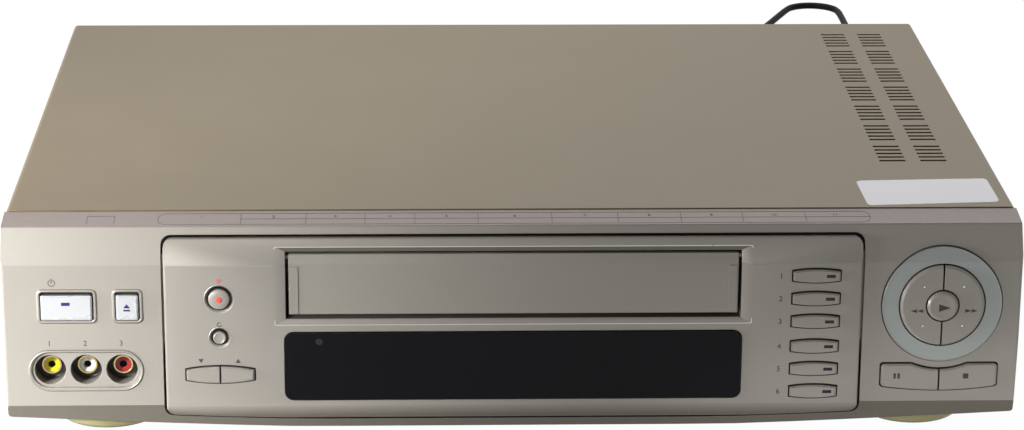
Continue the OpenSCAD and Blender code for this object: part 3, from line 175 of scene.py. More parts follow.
def make_handling_group():
    group, given, result = new_group(
        "wear_and_shade",
        {"Edge Radius": EDGE_RADIUS, "Grain Scale": GRAIN_SCALE, "Shelter Distance": SHELTER},
        ("Edge", "Dust", "Mottle", "Scratch", "Grain", "Crevice Shade", "Upward", "Downward"),
        ("Soft Normal",),
    )
    place = group.nodes.new("ShaderNodeTexCoord").outputs["Object"]
    normal = group.nodes.new("ShaderNodeNewGeometry").outputs["Normal"]
    bevel = add(group, "ShaderNodeBevel", Radius=given.outputs["Edge Radius"])
    bevel.samples = 4
    dot = group.nodes.new("ShaderNodeVectorMath")
    dot.operation = "DOT_PRODUCT"
    feed(group, dot.inputs[0], bevel.outputs[0])
    feed(group, dot.inputs[1], normal)
    bent = ramp(group, dot.outputs["Value"], 0.995, 0.9)
    patchy = ramp(group, noise(group, place, 160), 0.42, 0.62)
    facing_up = add(group, "ShaderNodeSeparateXYZ", Vector=normal).outputs["Z"]
    flat = ramp(group, facing_up, 0.3, 0.95)
    settled = ramp(group, noise(group, place, 28, 6, 0.65), 0.38, 0.72)
    hairs = ramp(group, noise(group, place, 60, 2, stretch=(1, 1, 34)), 0.695, 0.72)
    crossing = ramp(group, noise(group, place, 45, 2, stretch=(30, 1, 1.5)), 0.70, 0.72)
    shelter = add(group, "ShaderNodeAmbientOcclusion", Distance=given.outputs["Shelter Distance"])
    shelter.samples = 6
    values = {
        "Edge": math_node(group, "MULTIPLY", bent, patchy, True),
        "Dust": math_node(group, "MULTIPLY", flat, settled, True),
        "Mottle": ramp(group, noise(group, place, 14, 5, 0.6), 0.3, 0.7),
        "Scratch": math_node(group, "MAXIMUM", hairs, crossing, True),
        "Grain": noise(group, place, given.outputs["Grain Scale"], 2),
        # Painted shade: ambient occlusion picks out seams and hollows, to be darkened near-black
        "Crevice Shade": ramp(group, shelter.outputs["AO"], 0.52, 0.2),
        "Upward": flat,
        "Downward": ramp(group, facing_up, -0.08, -0.17),
        "Soft Normal": bevel.outputs[0],
    }
    for label, value in values.items():
        group.links.new(value, result.inputs[label])
    return group


wear_and_shade = make_handling_group()

DUST_COLOUR = (0.56, 0.53, 0.48)
# Near-black of the painted shade in seams and hollows
CREVICE_SHADE_COLOUR = (0.012, 0.010, 0.008)
WORN_GAIN, WORN_LIFT = 1.25, 0.05
SCRATCH_SHARE, DUST_ROUGHNESS = 0.35, 0.4


def finish_of(name, colour, rough, metal=0.0, dust=0.2, mottle=0.04, scratch=0.3, grain=GRAIN_SCALE,
              bump=0.00003, radius=EDGE_RADIUS, coat=0.0, rough_spread=0.08, specular=0.5, dirt=0.85,
              shelter=SHELTER, wear_edge=0.6, film=None, grime=None):
    """A finish with its own amounts of worn edges, scratches, dust and mottling; upward faces can take a
    tone of their own, downward faces a painted shade, and seams and hollows a near-black painted shade.
    """
    material = bpy.data.materials.new(name)
    tree = cleared_tree(material)
    mask_node = tree.nodes.new("ShaderNodeGroup")
    mask_node.node_tree = wear_and_shade
    for label, amount in (("Edge Radius", radius), ("Grain Scale", grain),
                          ("Shelter Distance", shelter)):
        mask_node.inputs[label].default_value = amount
    mask = mask_node.outputs
    darker = tuple(c * (1 - mottle) for c in colour)
    lighter = tuple(min(1, c * (1 + mottle)) for c in colour)
    tone = blend_colour(tree, mask["Mottle"], darker, lighter)
    if film:
        tone = blend_colour(tree, mask["Upward"], tone, film)
        # Downward faces darkened as painted shade
        tone = blend_colour(tree, mask["Downward"], tone, grime)
    worn = tuple(min(1, c * WORN_GAIN + WORN_LIFT) for c in colour)
    # Worn edges, scratches and dust, then a near-black painted shade in seams and hollows
    for label, amount, over in (("Edge", wear_edge, worn), ("Scratch", scratch * SCRATCH_SHARE, worn),
                                ("Dust", dust, DUST_COLOUR), ("Crevice Shade", dirt, CREVICE_SHADE_COLOUR)):
        tone = blend_colour(tree, math_node(tree, "MULTIPLY", mask[label], amount), tone, over)
    gloss = ramp(tree, mask["Mottle"], 0, 1, rough - rough_spread / 2, rough + rough_spread / 2)
    dulled = math_node(tree, "MULTIPLY", mask["Dust"], dust * DUST_ROUGHNESS)
    gloss = math_node(tree, "ADD", gloss, dulled, True)
    relief = add(tree, "ShaderNodeBump", Distance=bump, Strength=1, Height=mask["Grain"],
                 Normal=mask["Soft Normal"])
    shader = add(tree, "ShaderNodeBsdfPrincipled", Base_Color=tone, Roughness=gloss, Metallic=metal,
                 Coat_Weight=coat, Specular_IOR_Level=specular, Normal=relief.outputs[0])
    out = tree.nodes.new("ShaderNodeOutputMaterial")
    tree.links.new(shader.outputs[0], out.inputs[0])
    return material


def finish_like(usual, name, colour, rough, **changes):
    return finish_of(name, colour, rough, **{**usual, **changes})


def srgb(r, g, b):
    shares = (r / 255, g / 255, b / 255)
    return tuple(s / 12.92 if s <= 0.04 else ((s + 0.055) / 1.055) ** 2.4 for s in shares)


# Usual amounts of worn marks, dust and painted shade in hollows, for the paint, the small moulded keys,
# the sockets' inserts and the print
PAINT = {"metal": 0.2, "dust": 0.03, "mottle": 0.012, "scratch": 0.15, "bump": 0.00002,
         "rough_spread": 0.04, "specular": 0.3}
MOULDED = {"metal": 0.2, "dust": 0.02, "scratch": 0.1, "bump": 0.00001, "radius": 0.0005,
           "specular": 0.3}
INSERT = {"dust": 0.03, "mottle": 0.04, "scratch": 0.1, "dirt": 0.3}
PRINT = {"dust": 0.02, "mottle": 0.1, "scratch": 0.3, "bump": 0.00001, "specular": 0.2, "dirt": 0}
FRONT_SILVER = srgb(150, 145, 137)
NEAR_BLACK = srgb(6, 6, 7)

case_paint = finish_like(PAINT, "case_paint", srgb(110, 96, 70), 0.4, scratch=0.12, specular=0.35)
# The front paint's downward faces take a darker colour as painted shade, and its upward faces a darker,
# pinker tone
front_paint = finish_like(PAINT, "front_paint", FRONT_SILVER, 0.36, wear_edge=0.4,
                          film=srgb(118, 106, 101), grime=srgb(104, 99, 90))
# The sockets' cups take a deep, wide painted shade in their hollows
cup_paint = finish_like(PAINT, "cup_paint", FRONT_SILVER, 0.36, wear_edge=0.4, shelter=0.012, dirt=0.95)
door_paint = finish_like(PAINT, "door_paint", srgb(146, 143, 134), 0.34, dust=0.02, mottle=0.015,
                         scratch=0.25)
ring_paint = finish_like(MOULDED, "ring_paint", srgb(158, 163, 160), 0.3, mottle=0.01)
button_paint = finish_like(MOULDED, "button_paint", FRONT_SILVER, 0.32, mottle=0.012)
key_silver = finish_of("key_silver", srgb(190, 191, 193), 0.28, metal=0.4, dust=0.01, mottle=0.01,
                       scratch=0.02, bump=0.00001, wear_edge=0)
window_black = finish_of("window_black", srgb(12, 11, 16), 0.08, dust=0.01, mottle=0.1, scratch=0.12,
                         bump=0.000002, radius=0.0006, rough_spread=0.04, specular=0.1, dirt=0.2)
bare_steel = finish_of("bare_steel", srgb(182, 182, 180), 0.38, metal=0.9, dust=0.1, scratch=0.4)
drum_alloy = finish_of("drum_alloy", srgb(215, 216, 218), 0.18, metal=1.0, dust=0.05, mottle=0.02)
chrome_trim = finish_of("chrome_trim", srgb(214, 214, 212), 0.14, metal=1.0, dust=0.02, mottle=0.02,
                        radius=0.0002)
bezel_silver = finish_of("bezel_silver", srgb(206, 204, 198), 0.3, metal=0.7, dust=0, mottle=0.02,
                         scratch=0.05, bump=0.00001, radius=0.0002, wear_edge=0.1, dirt=0.5)
sleeve_gold = finish_of("sleeve_gold", srgb(206, 184, 128), 0.25, metal=0.9, dust=0.05, mottle=0.05,
                        radius=0.0002, shelter=0.005)
# Near-black for painted shade, laid in seams, gaps and socket bores
painted_shade_black = finish_of("painted_shade_black", NEAR_BLACK, 0.6, dust=0, mottle=0.1, scratch=0, bump=0.00001,
                       specular=0.1, dirt=0)
black_plastic = finish_of("black_plastic", srgb(26, 26, 28), 0.45, dust=0.08, mottle=0.08, bump=0.00005)
cord_pvc = finish_of("cord_pvc", NEAR_BLACK, 0.55, dust=0.01, mottle=0.1, bump=0.00002, radius=0.0003,
                     specular=0.08, dirt=0.3)
foot_gold = finish_of("foot_gold", srgb(138, 134, 96), 0.3, metal=0.5, dust=0.05, mottle=0.05)
foot_rubber = finish_of("foot_rubber", srgb(26, 26, 26), 0.7, mottle=0.1, bump=0.00008)
board_green = finish_of("board_green", srgb(60, 98, 58), 0.35, mottle=0.1, grain=400)
board_brown = finish_of("board_brown", srgb(150, 118, 70), 0.45, mottle=0.1, grain=400)
lamination = finish_of("lamination", srgb(96, 92, 84), 0.5, metal=0.6, mottle=0.15, grain=300)
tube_glass = finish_of("tube_glass", srgb(70, 96, 96), 0.1, dust=0.05, mottle=0.05, bump=0.000005,
                       coat=0.5)
socket_yellow = finish_like(INSERT, "socket_yellow", srgb(204, 184, 18), 0.35)
socket_white = finish_like(INSERT, "socket_white", srgb(214, 212, 198), 0.35)
socket_red = finish_like(INSERT, "socket_red", srgb(142, 26, 38), 0.35)
dark_print = finish_like(PRINT, "dark_print", srgb(70, 66, 62), 0.5)
ledge_print = finish_like(PRINT, "ledge_print", srgb(66, 56, 57), 0.5, scratch=0.5)
blue_print = finish_like(PRINT, "blue_print", srgb(44, 44, 96), 0.4, dust=0, mottle=0.05, scratch=0.1)
red_print = finish_like(PRINT, "red_print", srgb(206, 96, 88), 0.5, dust=0, mottle=0.05)
label_paper = finish_of("label_paper", srgb(246, 246, 250), 0.6, dust=0.02, mottle=0.015, dirt=0.1)
lamp_lens = finish_of("lamp_lens", srgb(30, 28, 40), 0.15, dust=0.01, mottle=0.05, bump=0.00001,
                      specular=0.3)
red_dot = finish_of("red_dot", srgb(214, 78, 62), 0.35, dust=0, mottle=0.05, scratch=0.1, bump=0.00001,
                    dirt=0)

FINISHES = {
    "top_cover": case_paint, "bottom_pan": bare_steel, "rear_panel": bare_steel,
    "cover_screws": bare_steel, "fascia": front_paint, "centre_panel": front_paint,
    "cassette_door": door_paint, "jack_plate": cup_paint,
    "transport_ring": ring_paint, "button_bezels": bezel_silver, "display_window": window_black,
    "display_board": board_green, "left_board": board_green, "right_board": board_green,
    "main_board": board_green, "power_board": board_brown, "display_tube": tube_glass,
    "jack_sleeves": sleeve_gold, "video_insert": socket_yellow, "audio_left_insert": socket_white,
    "audio_right_insert": socket_red, "front_feet": foot_gold, "rear_feet": foot_rubber,
    "deck_plate": bare_steel, "side_brackets": bare_steel, "lower_drum": drum_alloy,
    "upper_drum": drum_alloy, "capstan": drum_alloy, "supply_reel": black_plastic,
    "take_up_reel": black_plastic,
    "lift_slider": bare_steel, "cassette_basket": bare_steel, "tape_guides": drum_alloy,
    "audio_head": drum_alloy, "transformer": lamination, "tuner_box": bare_steel,
    "rear_jack_block": black_plastic, "rear_jack_sleeves": chrome_trim, "cord_gland": cord_pvc,
    "mains_cord": cord_pvc, "cord_coil": cord_pvc, "mains_plug": black_plastic,
    "power_button": key_silver, "eject_button": key_silver,
}
for name, piece in nodes.items():
    piece.data.materials.clear()
    piece.data.materials.append(FINISHES.get(name, button_paint))


# Modelling helpers

def select_only(*pieces):
    bpy.ops.object.select_all(action="DESELECT")
    for piece in pieces:
        piece.select_set(True)
        bpy.context.view_layer.objects.active = piece


def put_place_in_mesh():
    bpy.ops.object.transform_apply(location=True, rotation=True, scale=True)
    return bpy.context.object


def settle(piece, name, material, body="case"):
    """Names a finished piece, puts its place in its mesh, gives it its finish and its body."""
    select_only(piece)
    put_place_in_mesh()
    piece.name = name
    piece.data.name = name
    piece.data.materials.clear()
    piece.data.materials.append(material)
    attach(piece, body)
    return piece


def soften(piece, width):
    select_only(piece)
    bevel = piece.modifiers.new("edge", "BEVEL")
    bevel.width = width
    bevel.segments = 2
    bevel.limit_method = "ANGLE"
    bevel.angle_limit = math.radians(40)
    bpy.ops.object.modifier_apply(modifier=bevel.name)
    bpy.ops.object.shade_smooth_by_angle(angle=SMOOTH_ANGLE)


def bar(x0, x1, d0, d1, z0, z1):
    """A box between two depths, sizes in millimetres."""
    size = ((x1 - x0) / 1000, (d1 - d0) / 1000, (z1 - z0) / 1000)
    middle = at((x0 + x1) / 2, (d0 + d1) / 2, (z0 + z1) / 2)
    select_only()
    bpy.ops.mesh.primitive_cube_add(size=1, location=middle, scale=size)
    return put_place_in_mesh()


def disc(x, z, radius, d0, d1, sides):
    """A round plate facing the front, from depth d0 back to d1."""
    select_only()
    bpy.ops.mesh.primitive_cylinder_add(vertices=sides, radius=radius / 1000, depth=(d1 - d0) / 1000,
                                        location=at(x, (d0 + d1) / 2, z), rotation=FACING_FRONT)
    return put_place_in_mesh()


def bead(name, places, radius):
    """A curve with a round section along a line, in metres."""
    data = bpy.data.curves.new(name, "CURVE")
    data.dimensions = "3D"
    data.bevel_depth = radius
    data.bevel_resolution = 3
    spline = data.splines.new("POLY")
    spline.points.add(len(places) - 1)
    for point, place in zip(spline.points, places):
        point.co = (*place, 1)
    piece = bpy.data.objects.new(name, data)
    scene.collection.objects.link(piece)
    return piece, spline


def join(pieces):
    select_only(*pieces)
    bpy.ops.object.join()
    return bpy.context.view_layer.objects.active


# The mains lead: out of its gland, down to the table, out behind, back to its coil and plug

LEAD_RADIUS = 0.002
LEAD_Z = 2.1
LEAD_DROP = (
    (150, 210, 33.5), (150, 224, 24), (150, 237, 13.5), (150, 252, 6), (150, 270, 2.8),
    (150.4, 288, 2.15),
)
LEAD_ON_TABLE = (
    (151.3, 312), (152.8, 345), (154.6, 390), (158, 425), (164.5, 456), (173, 480), (181.2, 499),
    (188, 515), (195.4, 531.7), (199.9, 537.6), (206.5, 541), (213.9, 541.1), (220.7, 538),
    (225.3, 532.2), (227, 525), (227.4, 512), (227.5, 494), (227.6, 465), (227.2, 420), (225.4, 365),
    (221.5, 310),
)
GLAND_TIP = (150, 184.3, 38)
COIL = (188, 232)
COIL_INNER, COIL_PITCH, COIL_TURNS, COIL_CROSSING = 16.4, 4.5, 6.25, 0.5
COIL_RUN = (COIL_TURNS - COIL_CROSSING) / 2
COIL_OUTER = COIL_INNER + COIL_PITCH * COIL_RUN
COIL_STEPS, LEAD_STEPS = 36, 5
PLUG_ENTRY = (COIL[0] - 24, COIL[1] - COIL_OUTER, 6.85)


def coil_point(turns):
    """A place in the coil, which runs inwards, crosses to its second layer and runs outwards again."""
    if turns < COIL_RUN:
        radius = COIL_OUTER - COIL_PITCH * turns
    elif turns < COIL_RUN + COIL_CROSSING:
        radius = COIL_INNER - 0.9 * math.sin(2 * math.pi * (turns - COIL_RUN))
    else:
        radius = COIL_OUTER - COIL_PITCH * (2 * COIL_RUN + COIL_CROSSING - turns)
    height = LEAD_Z + COIL_PITCH * min(1, max(0, (turns - COIL_RUN) / COIL_CROSSING))
    angle = -2 * math.pi * turns
    return (COIL[0] + radius * math.cos(angle), COIL[1] + radius * math.sin(angle), height)


def smooth_route(points, steps):
    """A curve through all the points, with its own ends carried straight on."""
    p = [Vector(q) for q in points]
    line = []
    for i in range(len(p) - 1):
        before = p[i - 1] if i else 2 * p[0] - p[1]
        after = p[i + 2] if i + 2 < len(p) else 2 * p[-1] - p[-2]
        for k in range(steps):
            t = k / steps
            line.append(0.5 * (2 * p[i] + (p[i + 1] - before) * t
                               + (2 * before - 5 * p[i] + 4 * p[i + 1] - after) * t * t
                               + (3 * p[i] - before - 3 * p[i + 1] + after) * t ** 3))
    return line + [p[-1]]


def lead_line():
    """The middle of the whole lead, in millimetres: its route, its coil and its way into the plug."""
    coil_start = (COIL[0] + COIL_OUTER, COIL[1] + 4, LEAD_Z)
    route = (GLAND_TIP, (GLAND_TIP[0], GLAND_TIP[1] + 10, GLAND_TIP[2] - 0.4), *LEAD_DROP,
             *((x, y, LEAD_Z) for x, y in LEAD_ON_TABLE),
             (coil_start[0] + 0.6, coil_start[1] + 30, LEAD_Z), coil_start)
    line = smooth_route(route, LEAD_STEPS)
    line += [Vector(coil_point(i / COIL_STEPS)) for i in range(int(COIL_STEPS * COIL_TURNS) + 1)]
    last = line[-1]
    return line + [last + Vector((-8, 0, 0.1)), last + Vector((-16, 0, 0.25)), Vector(PLUG_ENTRY)]


def lay_mains_lead():
    line = [v / 1000 for v in lead_line()]
    lead, spline = bead("mains_lead", line, LEAD_RADIUS)
    lead.data.use_fill_caps = True
    spline.use_smooth = True
    lead.data.materials.append(cord_pvc)
    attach(lead, "case")
    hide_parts("mains_cord", "cord_coil")


lay_mains_lead()


# Printed marks, lamps and labels

def shape(corners, push):
    """A thin solid on the corners given, which are places in metres, pushed out by a vector."""
    select_only()
    bpy.ops.mesh.primitive_circle_add(vertices=len(corners), radius=0.01, fill_type="NGON")
    sheet = bpy.context.object
    for vertex, corner in zip(sheet.data.vertices, corners):
        vertex.co = corner
    bpy.ops.object.mode_set(mode="EDIT")
    bpy.ops.mesh.select_all(action="SELECT")
    bpy.ops.mesh.extrude_region_move(TRANSFORM_OT_translate={"value": push})
    bpy.ops.mesh.select_all(action="SELECT")
    bpy.ops.mesh.normals_make_consistent(inside=False)
    bpy.ops.object.mode_set(mode="OBJECT")
    return sheet


INK = 0.06
ARC_STEPS = 20


def mark(points, depth):
    """A printed shape on a face at this depth; points are x and z in millimetres."""
    return shape([at(x, depth, z) for x, z in points], (0, -INK / 1000, 0))


def mark_bar(x0, x1, z0, z1, depth):
    return mark([(x0, z0), (x1, z0), (x1, z1), (x0, z1)], depth)


def mark_arc(x, z, inner, outer, start, end, depth):
    """Part of a ring, between two angles in degrees."""
    turns = [math.radians(start + (end - start) * i / ARC_STEPS) for i in range(ARC_STEPS + 1)]
    return mark([(x + outer * math.cos(t), z + outer * math.sin(t)) for t in turns]
                + [(x + inner * math.cos(t), z + inner * math.sin(t)) for t in reversed(turns)], depth)


def circle(x, z, radius, sides):
    turns = [2 * math.pi * i / sides for i in range(sides)]
    return [(x + radius * math.cos(t), z + radius * math.sin(t)) for t in turns]


def double_arrow(bases, length):
    """Two arrowheads in a row on the dial; a length below nought points them to the left."""
    return join([mark([(x, 53.7), (x + length, 54.5), (x, 55.3)], DIAL_D) for x in bases])


def numeral(text, place, turn, height):
    """A plain printed number, its middle at a place, lying as the turn says."""
    select_only()
    bpy.ops.object.text_add(location=place, rotation=turn)
    words = bpy.context.object
    words.data.body = text
    words.data.size = height / 1000 * 1.4
    words.data.extrude = INK / 2000
    words.data.resolution_u = 3
    words.data.align_x = "CENTER"
    words.data.align_y = "CENTER"
    bpy.ops.object.convert(target="MESH")
    piece = put_place_in_mesh()
    bpy.ops.object.mode_set(mode="EDIT")
    bpy.ops.mesh.select_all(action="SELECT")
    bpy.ops.mesh.remove_doubles(threshold=WELD)
    bpy.ops.mesh.normals_make_consistent(inside=False)
    bpy.ops.object.mode_set(mode="OBJECT")
    return piece


def front_numeral(text, x, z, depth, height):
    return numeral(text, at(x, depth - INK / 2, z), FACING_FRONT, height)


def print_on_keys():
    """The symbols on the keys themselves."""
    settle(mark_bar(-189.8, -186.2, 58.5, 59.9, KEY_D), "power_lamp", blue_print, "power_button")
    settle(join([mark([(-163.9, 57.3), (-161.1, 57.3), (-162.5, 59.1)], KEY_D),
                 mark_bar(-163.9, -161.1, 55.9, 56.6, KEY_D)]),
           "eject_symbol", blue_print, "eject_button")
    settle(double_arrow((170.4, 173.1), -2.6), "rewind_symbol", dark_print, "rewind_button")
    settle(double_arrow((191.0, 193.7), 2.6), "forward_symbol", dark_print, "forward_button")
    settle(mark([(179.6, 54.5), (184.6, 56.2), (179.6, 57.8)], PLAY_D), "play_symbol", dark_print,
           "play_button")
    settle(join([mark_bar(x, x + 1, 23.6, 26.0, PAUSE_D) for x in (161.9, 163.6)]),
           "pause_symbol", dark_print, "pause_button")
    settle(mark_bar(191.6, 193.9, 23.5, 25.8, PAUSE_D), "stop_symbol", dark_print, "stop_button")


def print_on_front():
    """The symbols beside the keys, and plain numbers for the six outputs and three sockets."""
    height = 2.4
    settle(join([mark_arc(-193.7, 68.0, 1.25, 1.55, 115, 425, 0.0),
                 mark_bar(-193.87, -193.53, 67.9, 70.0, 0.0)]), "power_symbol", dark_print)
    for name, x, rise in (("left", -131.9, -0.9), ("right", -116.3, 0.9)):
        settle(mark([(x - 1.1, 33.4 - rise), (x + 1.1, 33.4 - rise), (x, 33.4 + rise)], PANEL_D),
               "channel_mark_" + name, dark_print)
    settle(mark(circle(RECORD_X, 69.2, 0.9, 24), PANEL_D), "record_mark", red_print)
    settle(mark_arc(-123.9, 49.7, 0.75, 1.05, 60, 360, PANEL_D), "reset_mark", dark_print)
    for i, z in enumerate(OUTPUT_HEIGHTS, 1):
        settle(front_numeral(str(i), 112.6, z - 0.2, PANEL_D, height),
               "output_number_%d" % i, dark_print)
    for i, x in enumerate(SOCKETS_X, 1):
        settle(front_numeral(str(i), x, 41.0, 0.0, height), "socket_number_%d" % i, dark_print)


print_on_keys()
print_on_front()


# The ledge's printed table is blank but for numbers, in lines that lie on the sloping ledge.
def on_ledge(x, depth):
    return at(x, depth, EDGE_Z + (depth - EDGE_D) * LEDGE_RISE / LEDGE_RUN + 0.01)


def ledge_line(x0, d0, x1, d1, width=0.22):
    """A printed line on the ledge between two places."""
    run = Vector((x1 - x0, d1 - d0))
    side = Vector((-run.y, run.x)).normalized() * width / 2
    corners = [(x0 + side.x, d0 + side.y), (x1 + side.x, d1 + side.y),
               (x1 - side.x, d1 - side.y), (x0 - side.x, d0 - side.y)]
    return shape([on_ledge(x, d) for x, d in corners], (0, 0, INK / 1000))


def print_ledge_table():
    left, right, front, back = -149.5, 151, 6.2, 16.6
    middle = (front + back) / 2
    columns = (-114.6, -87.3, -62.5, -41.5, -14.9, 16.2, 44.1, 70.7, 96.9, 123.5)
    lines = [ledge_line(left + 3, front, right - 3, front), ledge_line(left + 3, back, right - 3, back),
             ledge_line(columns[0], middle, right, middle, 0.16)]
    for x, way in ((left, -1), (right, 1)):
        places = [(x - way * 3, front), (x - way * 0.8, front + 1.6), (x, middle),
                  (x - way * 0.8, back - 1.6), (x - way * 3, back)]
        lines += [ledge_line(*a, *b) for a, b in zip(places, places[1:])]
    lines += [ledge_line(x, front, x, back) for x in columns]
    bracket = [(-179, 6.9), (-179, 14.5), (-167.5, 14.5), (-167.5, 6.9)]
    lines += [ledge_line(*a, *b) for a, b in zip(bracket, bracket[1:])]
    settle(join(lines), "ledge_table", ledge_print)
    lean = math.atan(LEDGE_RISE / LEDGE_RUN)
    edges = (left + 2,) + columns + (right - 2,)
    for i, (a, b) in enumerate(zip(edges, edges[1:]), 1):
        place = on_ledge((a + b) / 2, 13.6) + Vector((0, 0, INK / 2000))
        settle(numeral(str(i), place, (lean, 0, 0), 1.9), "ledge_number_%d" % i, ledge_print)


print_ledge_table()


def set_lamp_lenses():
    """A small dark lens let into each output key, all copies of the first."""
    left, right, low, high = 131.5, 135.4, 69.7, 71.2
    corners = ((left, low), (right, low), (right, high), (left, high))
    first = shape([at(x, -2.72, z) for x, z in corners], (0, 0.0006, 0))
    soften(first, 0.00008)
    for i, z in enumerate(OUTPUT_HEIGHTS, 1):
        lens = first
        if i > 1:
            select_only(first)
            bpy.ops.object.duplicate()
            lens = bpy.context.object
            lens.location.z = (z - OUTPUT_HEIGHTS[0]) / 1000
        settle(lens, "output_lamp_%d" % i, lamp_lens, "output_button_%d" % i)


set_lamp_lenses()


def add_record_dot():
    dot = disc(RECORD_X, 61.15, 1.3, -2.98, -2.6, 32)
    soften(dot, 0.00012)
    settle(dot, "record_dot", red_dot, "record_button")


def add_finger_bumps():
    """Four raised points on the dial, to be found by touch."""
    for i, (x, z) in enumerate([(x, z) for z in (65.2, 47.7) for x in (173.2, 190)], 1):
        select_only()
        bpy.ops.mesh.primitive_uv_sphere_add(segments=16, ring_count=8, radius=0.0004,
                                             location=at(x, -2.05, z))
        bump = bpy.context.object
        bump.scale = (1, 0.6, 1)
        bpy.ops.object.shade_smooth()
        body = "rewind_button" if x < RING_X else "forward_button"
        settle(bump, "finger_bump_%d" % i, chrome_trim, body)


def add_sensor_spot():
    settle(disc(-82, 42, 1.5, -2.16, -2.05, 32), "remote_sensor", lamp_lens)


add_record_dot()
add_finger_bumps()
add_sensor_spot()


def add_cover_label():
    """A blank paper label on the cover, a little skew, with rounded corners."""
    corners = [Vector(place) for place in ((151.4, 22.0), (208.6, 26.2), (208.2, 58.9), (150.5, 56.2))]
    rounding = 3
    rounded = []
    for i, here in enumerate(corners):
        before, after = corners[i - 1], corners[(i + 1) % 4]
        a = here + (before - here).normalized() * rounding
        b = here + (after - here).normalized() * rounding
        rounded += [(1 - t) ** 2 * a + 2 * t * (1 - t) * here + t * t * b
                    for t in (0, 0.25, 0.5, 0.75, 1)]
    sheet = shape([at(v.x, v.y, COVER_Z) for v in rounded], (0, 0, 0.00004))
    settle(sheet, "cover_label", label_paper)


add_cover_label()


# Raised rims, and painted shade in the depths of the seams

def rounded_rectangle(x0, z0, x1, z1, radius, steps=6):
    centres = ((x1 - radius, z1 - radius, 0), (x0 + radius, z1 - radius, 90),
               (x0 + radius, z0 + radius, 180), (x1 - radius, z0 + radius, 270))
    return [(x + radius * math.cos(math.radians(start + 90 * i / steps)),
             z + radius * math.sin(math.radians(start + 90 * i / steps)))
            for x, z, start in centres for i in range(steps + 1)]


def face_depth(z):
    """Depth of the moulding's face at a height: above its crease and below its foot it leans back."""
    lean = max(0, z - CREASE_Z) * EDGE_D / (EDGE_Z - CREASE_Z)
    return lean + max(0, TUCK_Z - z) * TUCK_DEPTH / TUCK_HEIGHT


def rim(name, points, depth, radius, flat, material):
    """A rounded rim along a closed line on the face, its points given as x and z in millimetres."""
    places = [(x / 1000, (depth + face_depth(z)) / 1000 / flat, z / 1000) for x, z in points]
    piece, spline = bead(name, places, radius / 1000)
    spline.use_cyclic_u = True
    piece.location.y = FACE
    piece.scale.y = flat
    select_only(piece)
    bpy.ops.object.convert(target="MESH")
    piece = bpy.context.object
    bpy.ops.object.shade_smooth()
    return settle(piece, name, material)


def add_rims():
    """Raised rims round the two keys, the socket plate and the transport ring."""
    flat, gap = 0.9, 0.55
    for name, x0, x1 in (("power_rim", -199.0, -176.4), ("eject_rim", -167.5, -157.1)):
        line = rounded_rectangle(x0 - gap, 50.75, x1 + gap, 64.55, 1.7)
        rim(name, line, -0.05, 0.75, flat, front_paint)
    plate = rounded_rectangle(-204.2, 20.1, -156.8, 37.5, 8.7, 14)
    rim("socket_rim", plate, -0.15, 0.55, flat, front_paint)
    rim("ring_edge", circle(RING_X, RING_Z, RING_RADIUS, 96), -0.8, 0.28, flat, ring_paint)


add_rims()

# The centre panel: half its width, its top, its foot in the middle, and how the foot rises to its ends
PANEL_HALF, PANEL_TOP, PANEL_FOOT = 146.9, 86.9, 6.8
BOW_START, BOW_RUN, BOW_RISE, BOW_POWER = 88, 127, 5.6, 1.25


def panel_line(grow, radius):
    """The centre panel's outline, grown outwards; its lower edge follows the moulding's lip."""
    half, top = PANEL_HALF + grow, PANEL_TOP + grow
    steps = 6
    box = rounded_rectangle(-half, 0, half, top, radius, steps)
    corner = 3 * (steps + 1)
    along = [(-half + radius + (half - radius) * i / 12, 0) for i in range(1, 24)]
    line = []
    for x, z in box[:corner] + along + box[corner:]:
        low = PANEL_FOOT - grow + BOW_RISE * max(0, (abs(x) - BOW_START) / BOW_RUN) ** BOW_POWER
        line.append((x, low + z / top * (top - low)))
    return line


def lens_line(x, z, half, end, middle):
    """The outline of a key whose upper and lower edges bow outwards."""
    steps = 10
    over = [(i / steps, end + (middle - end) * (1 - (i / steps) ** 2)) for i in range(-steps, steps + 1)]
    return [(x + half * u, z + h) for u, h in over] + [(x + half * u, z - h) for u, h in reversed(over)]


def line_gaps():
    """Painted shade: near-black beads in the depths of the seam round the centre panel and of the gaps
    round its keys.
    """
    depth, radius = -0.95, 0.26
    rim("panel_seam_shadow", panel_line(0.5, 4.5), 0.65, 0.47, 1, painted_shade_black)
    rim("channel_gap_shadow", lens_line(RECORD_X, 27.3, 14.55, 2.5, 4.0), depth, radius, 1, painted_shade_black)
    for i, z in enumerate(OUTPUT_HEIGHTS, 1):
        line = lens_line(127.5, z, 10.2, 2.3, 3.2)
        rim("output_gap_shadow_%d" % i, line, depth, radius, 1, painted_shade_black)


def edge_the_frame():
    """A fine raised edge round the bevelled frame of the cassette opening, in pale silver as a painted
    highlight.
    """
    rim("frame_edge_highlight", rounded_rectangle(-100.5, 49.3, 100.5, 83.2, 0.6), -1.42, 0.2, 1, bezel_silver)


def blacken_sockets():
    """Painted shade: near-black discs at the bottoms of the three sockets' bores."""
    for i, x in enumerate(SOCKETS_X, 1):
        settle(disc(x, 29.1, 1.55, 8.2, 9, 24), "socket_bore_shade_%d" % i, painted_shade_black)


line_gaps()
edge_the_frame()
blacken_sockets()


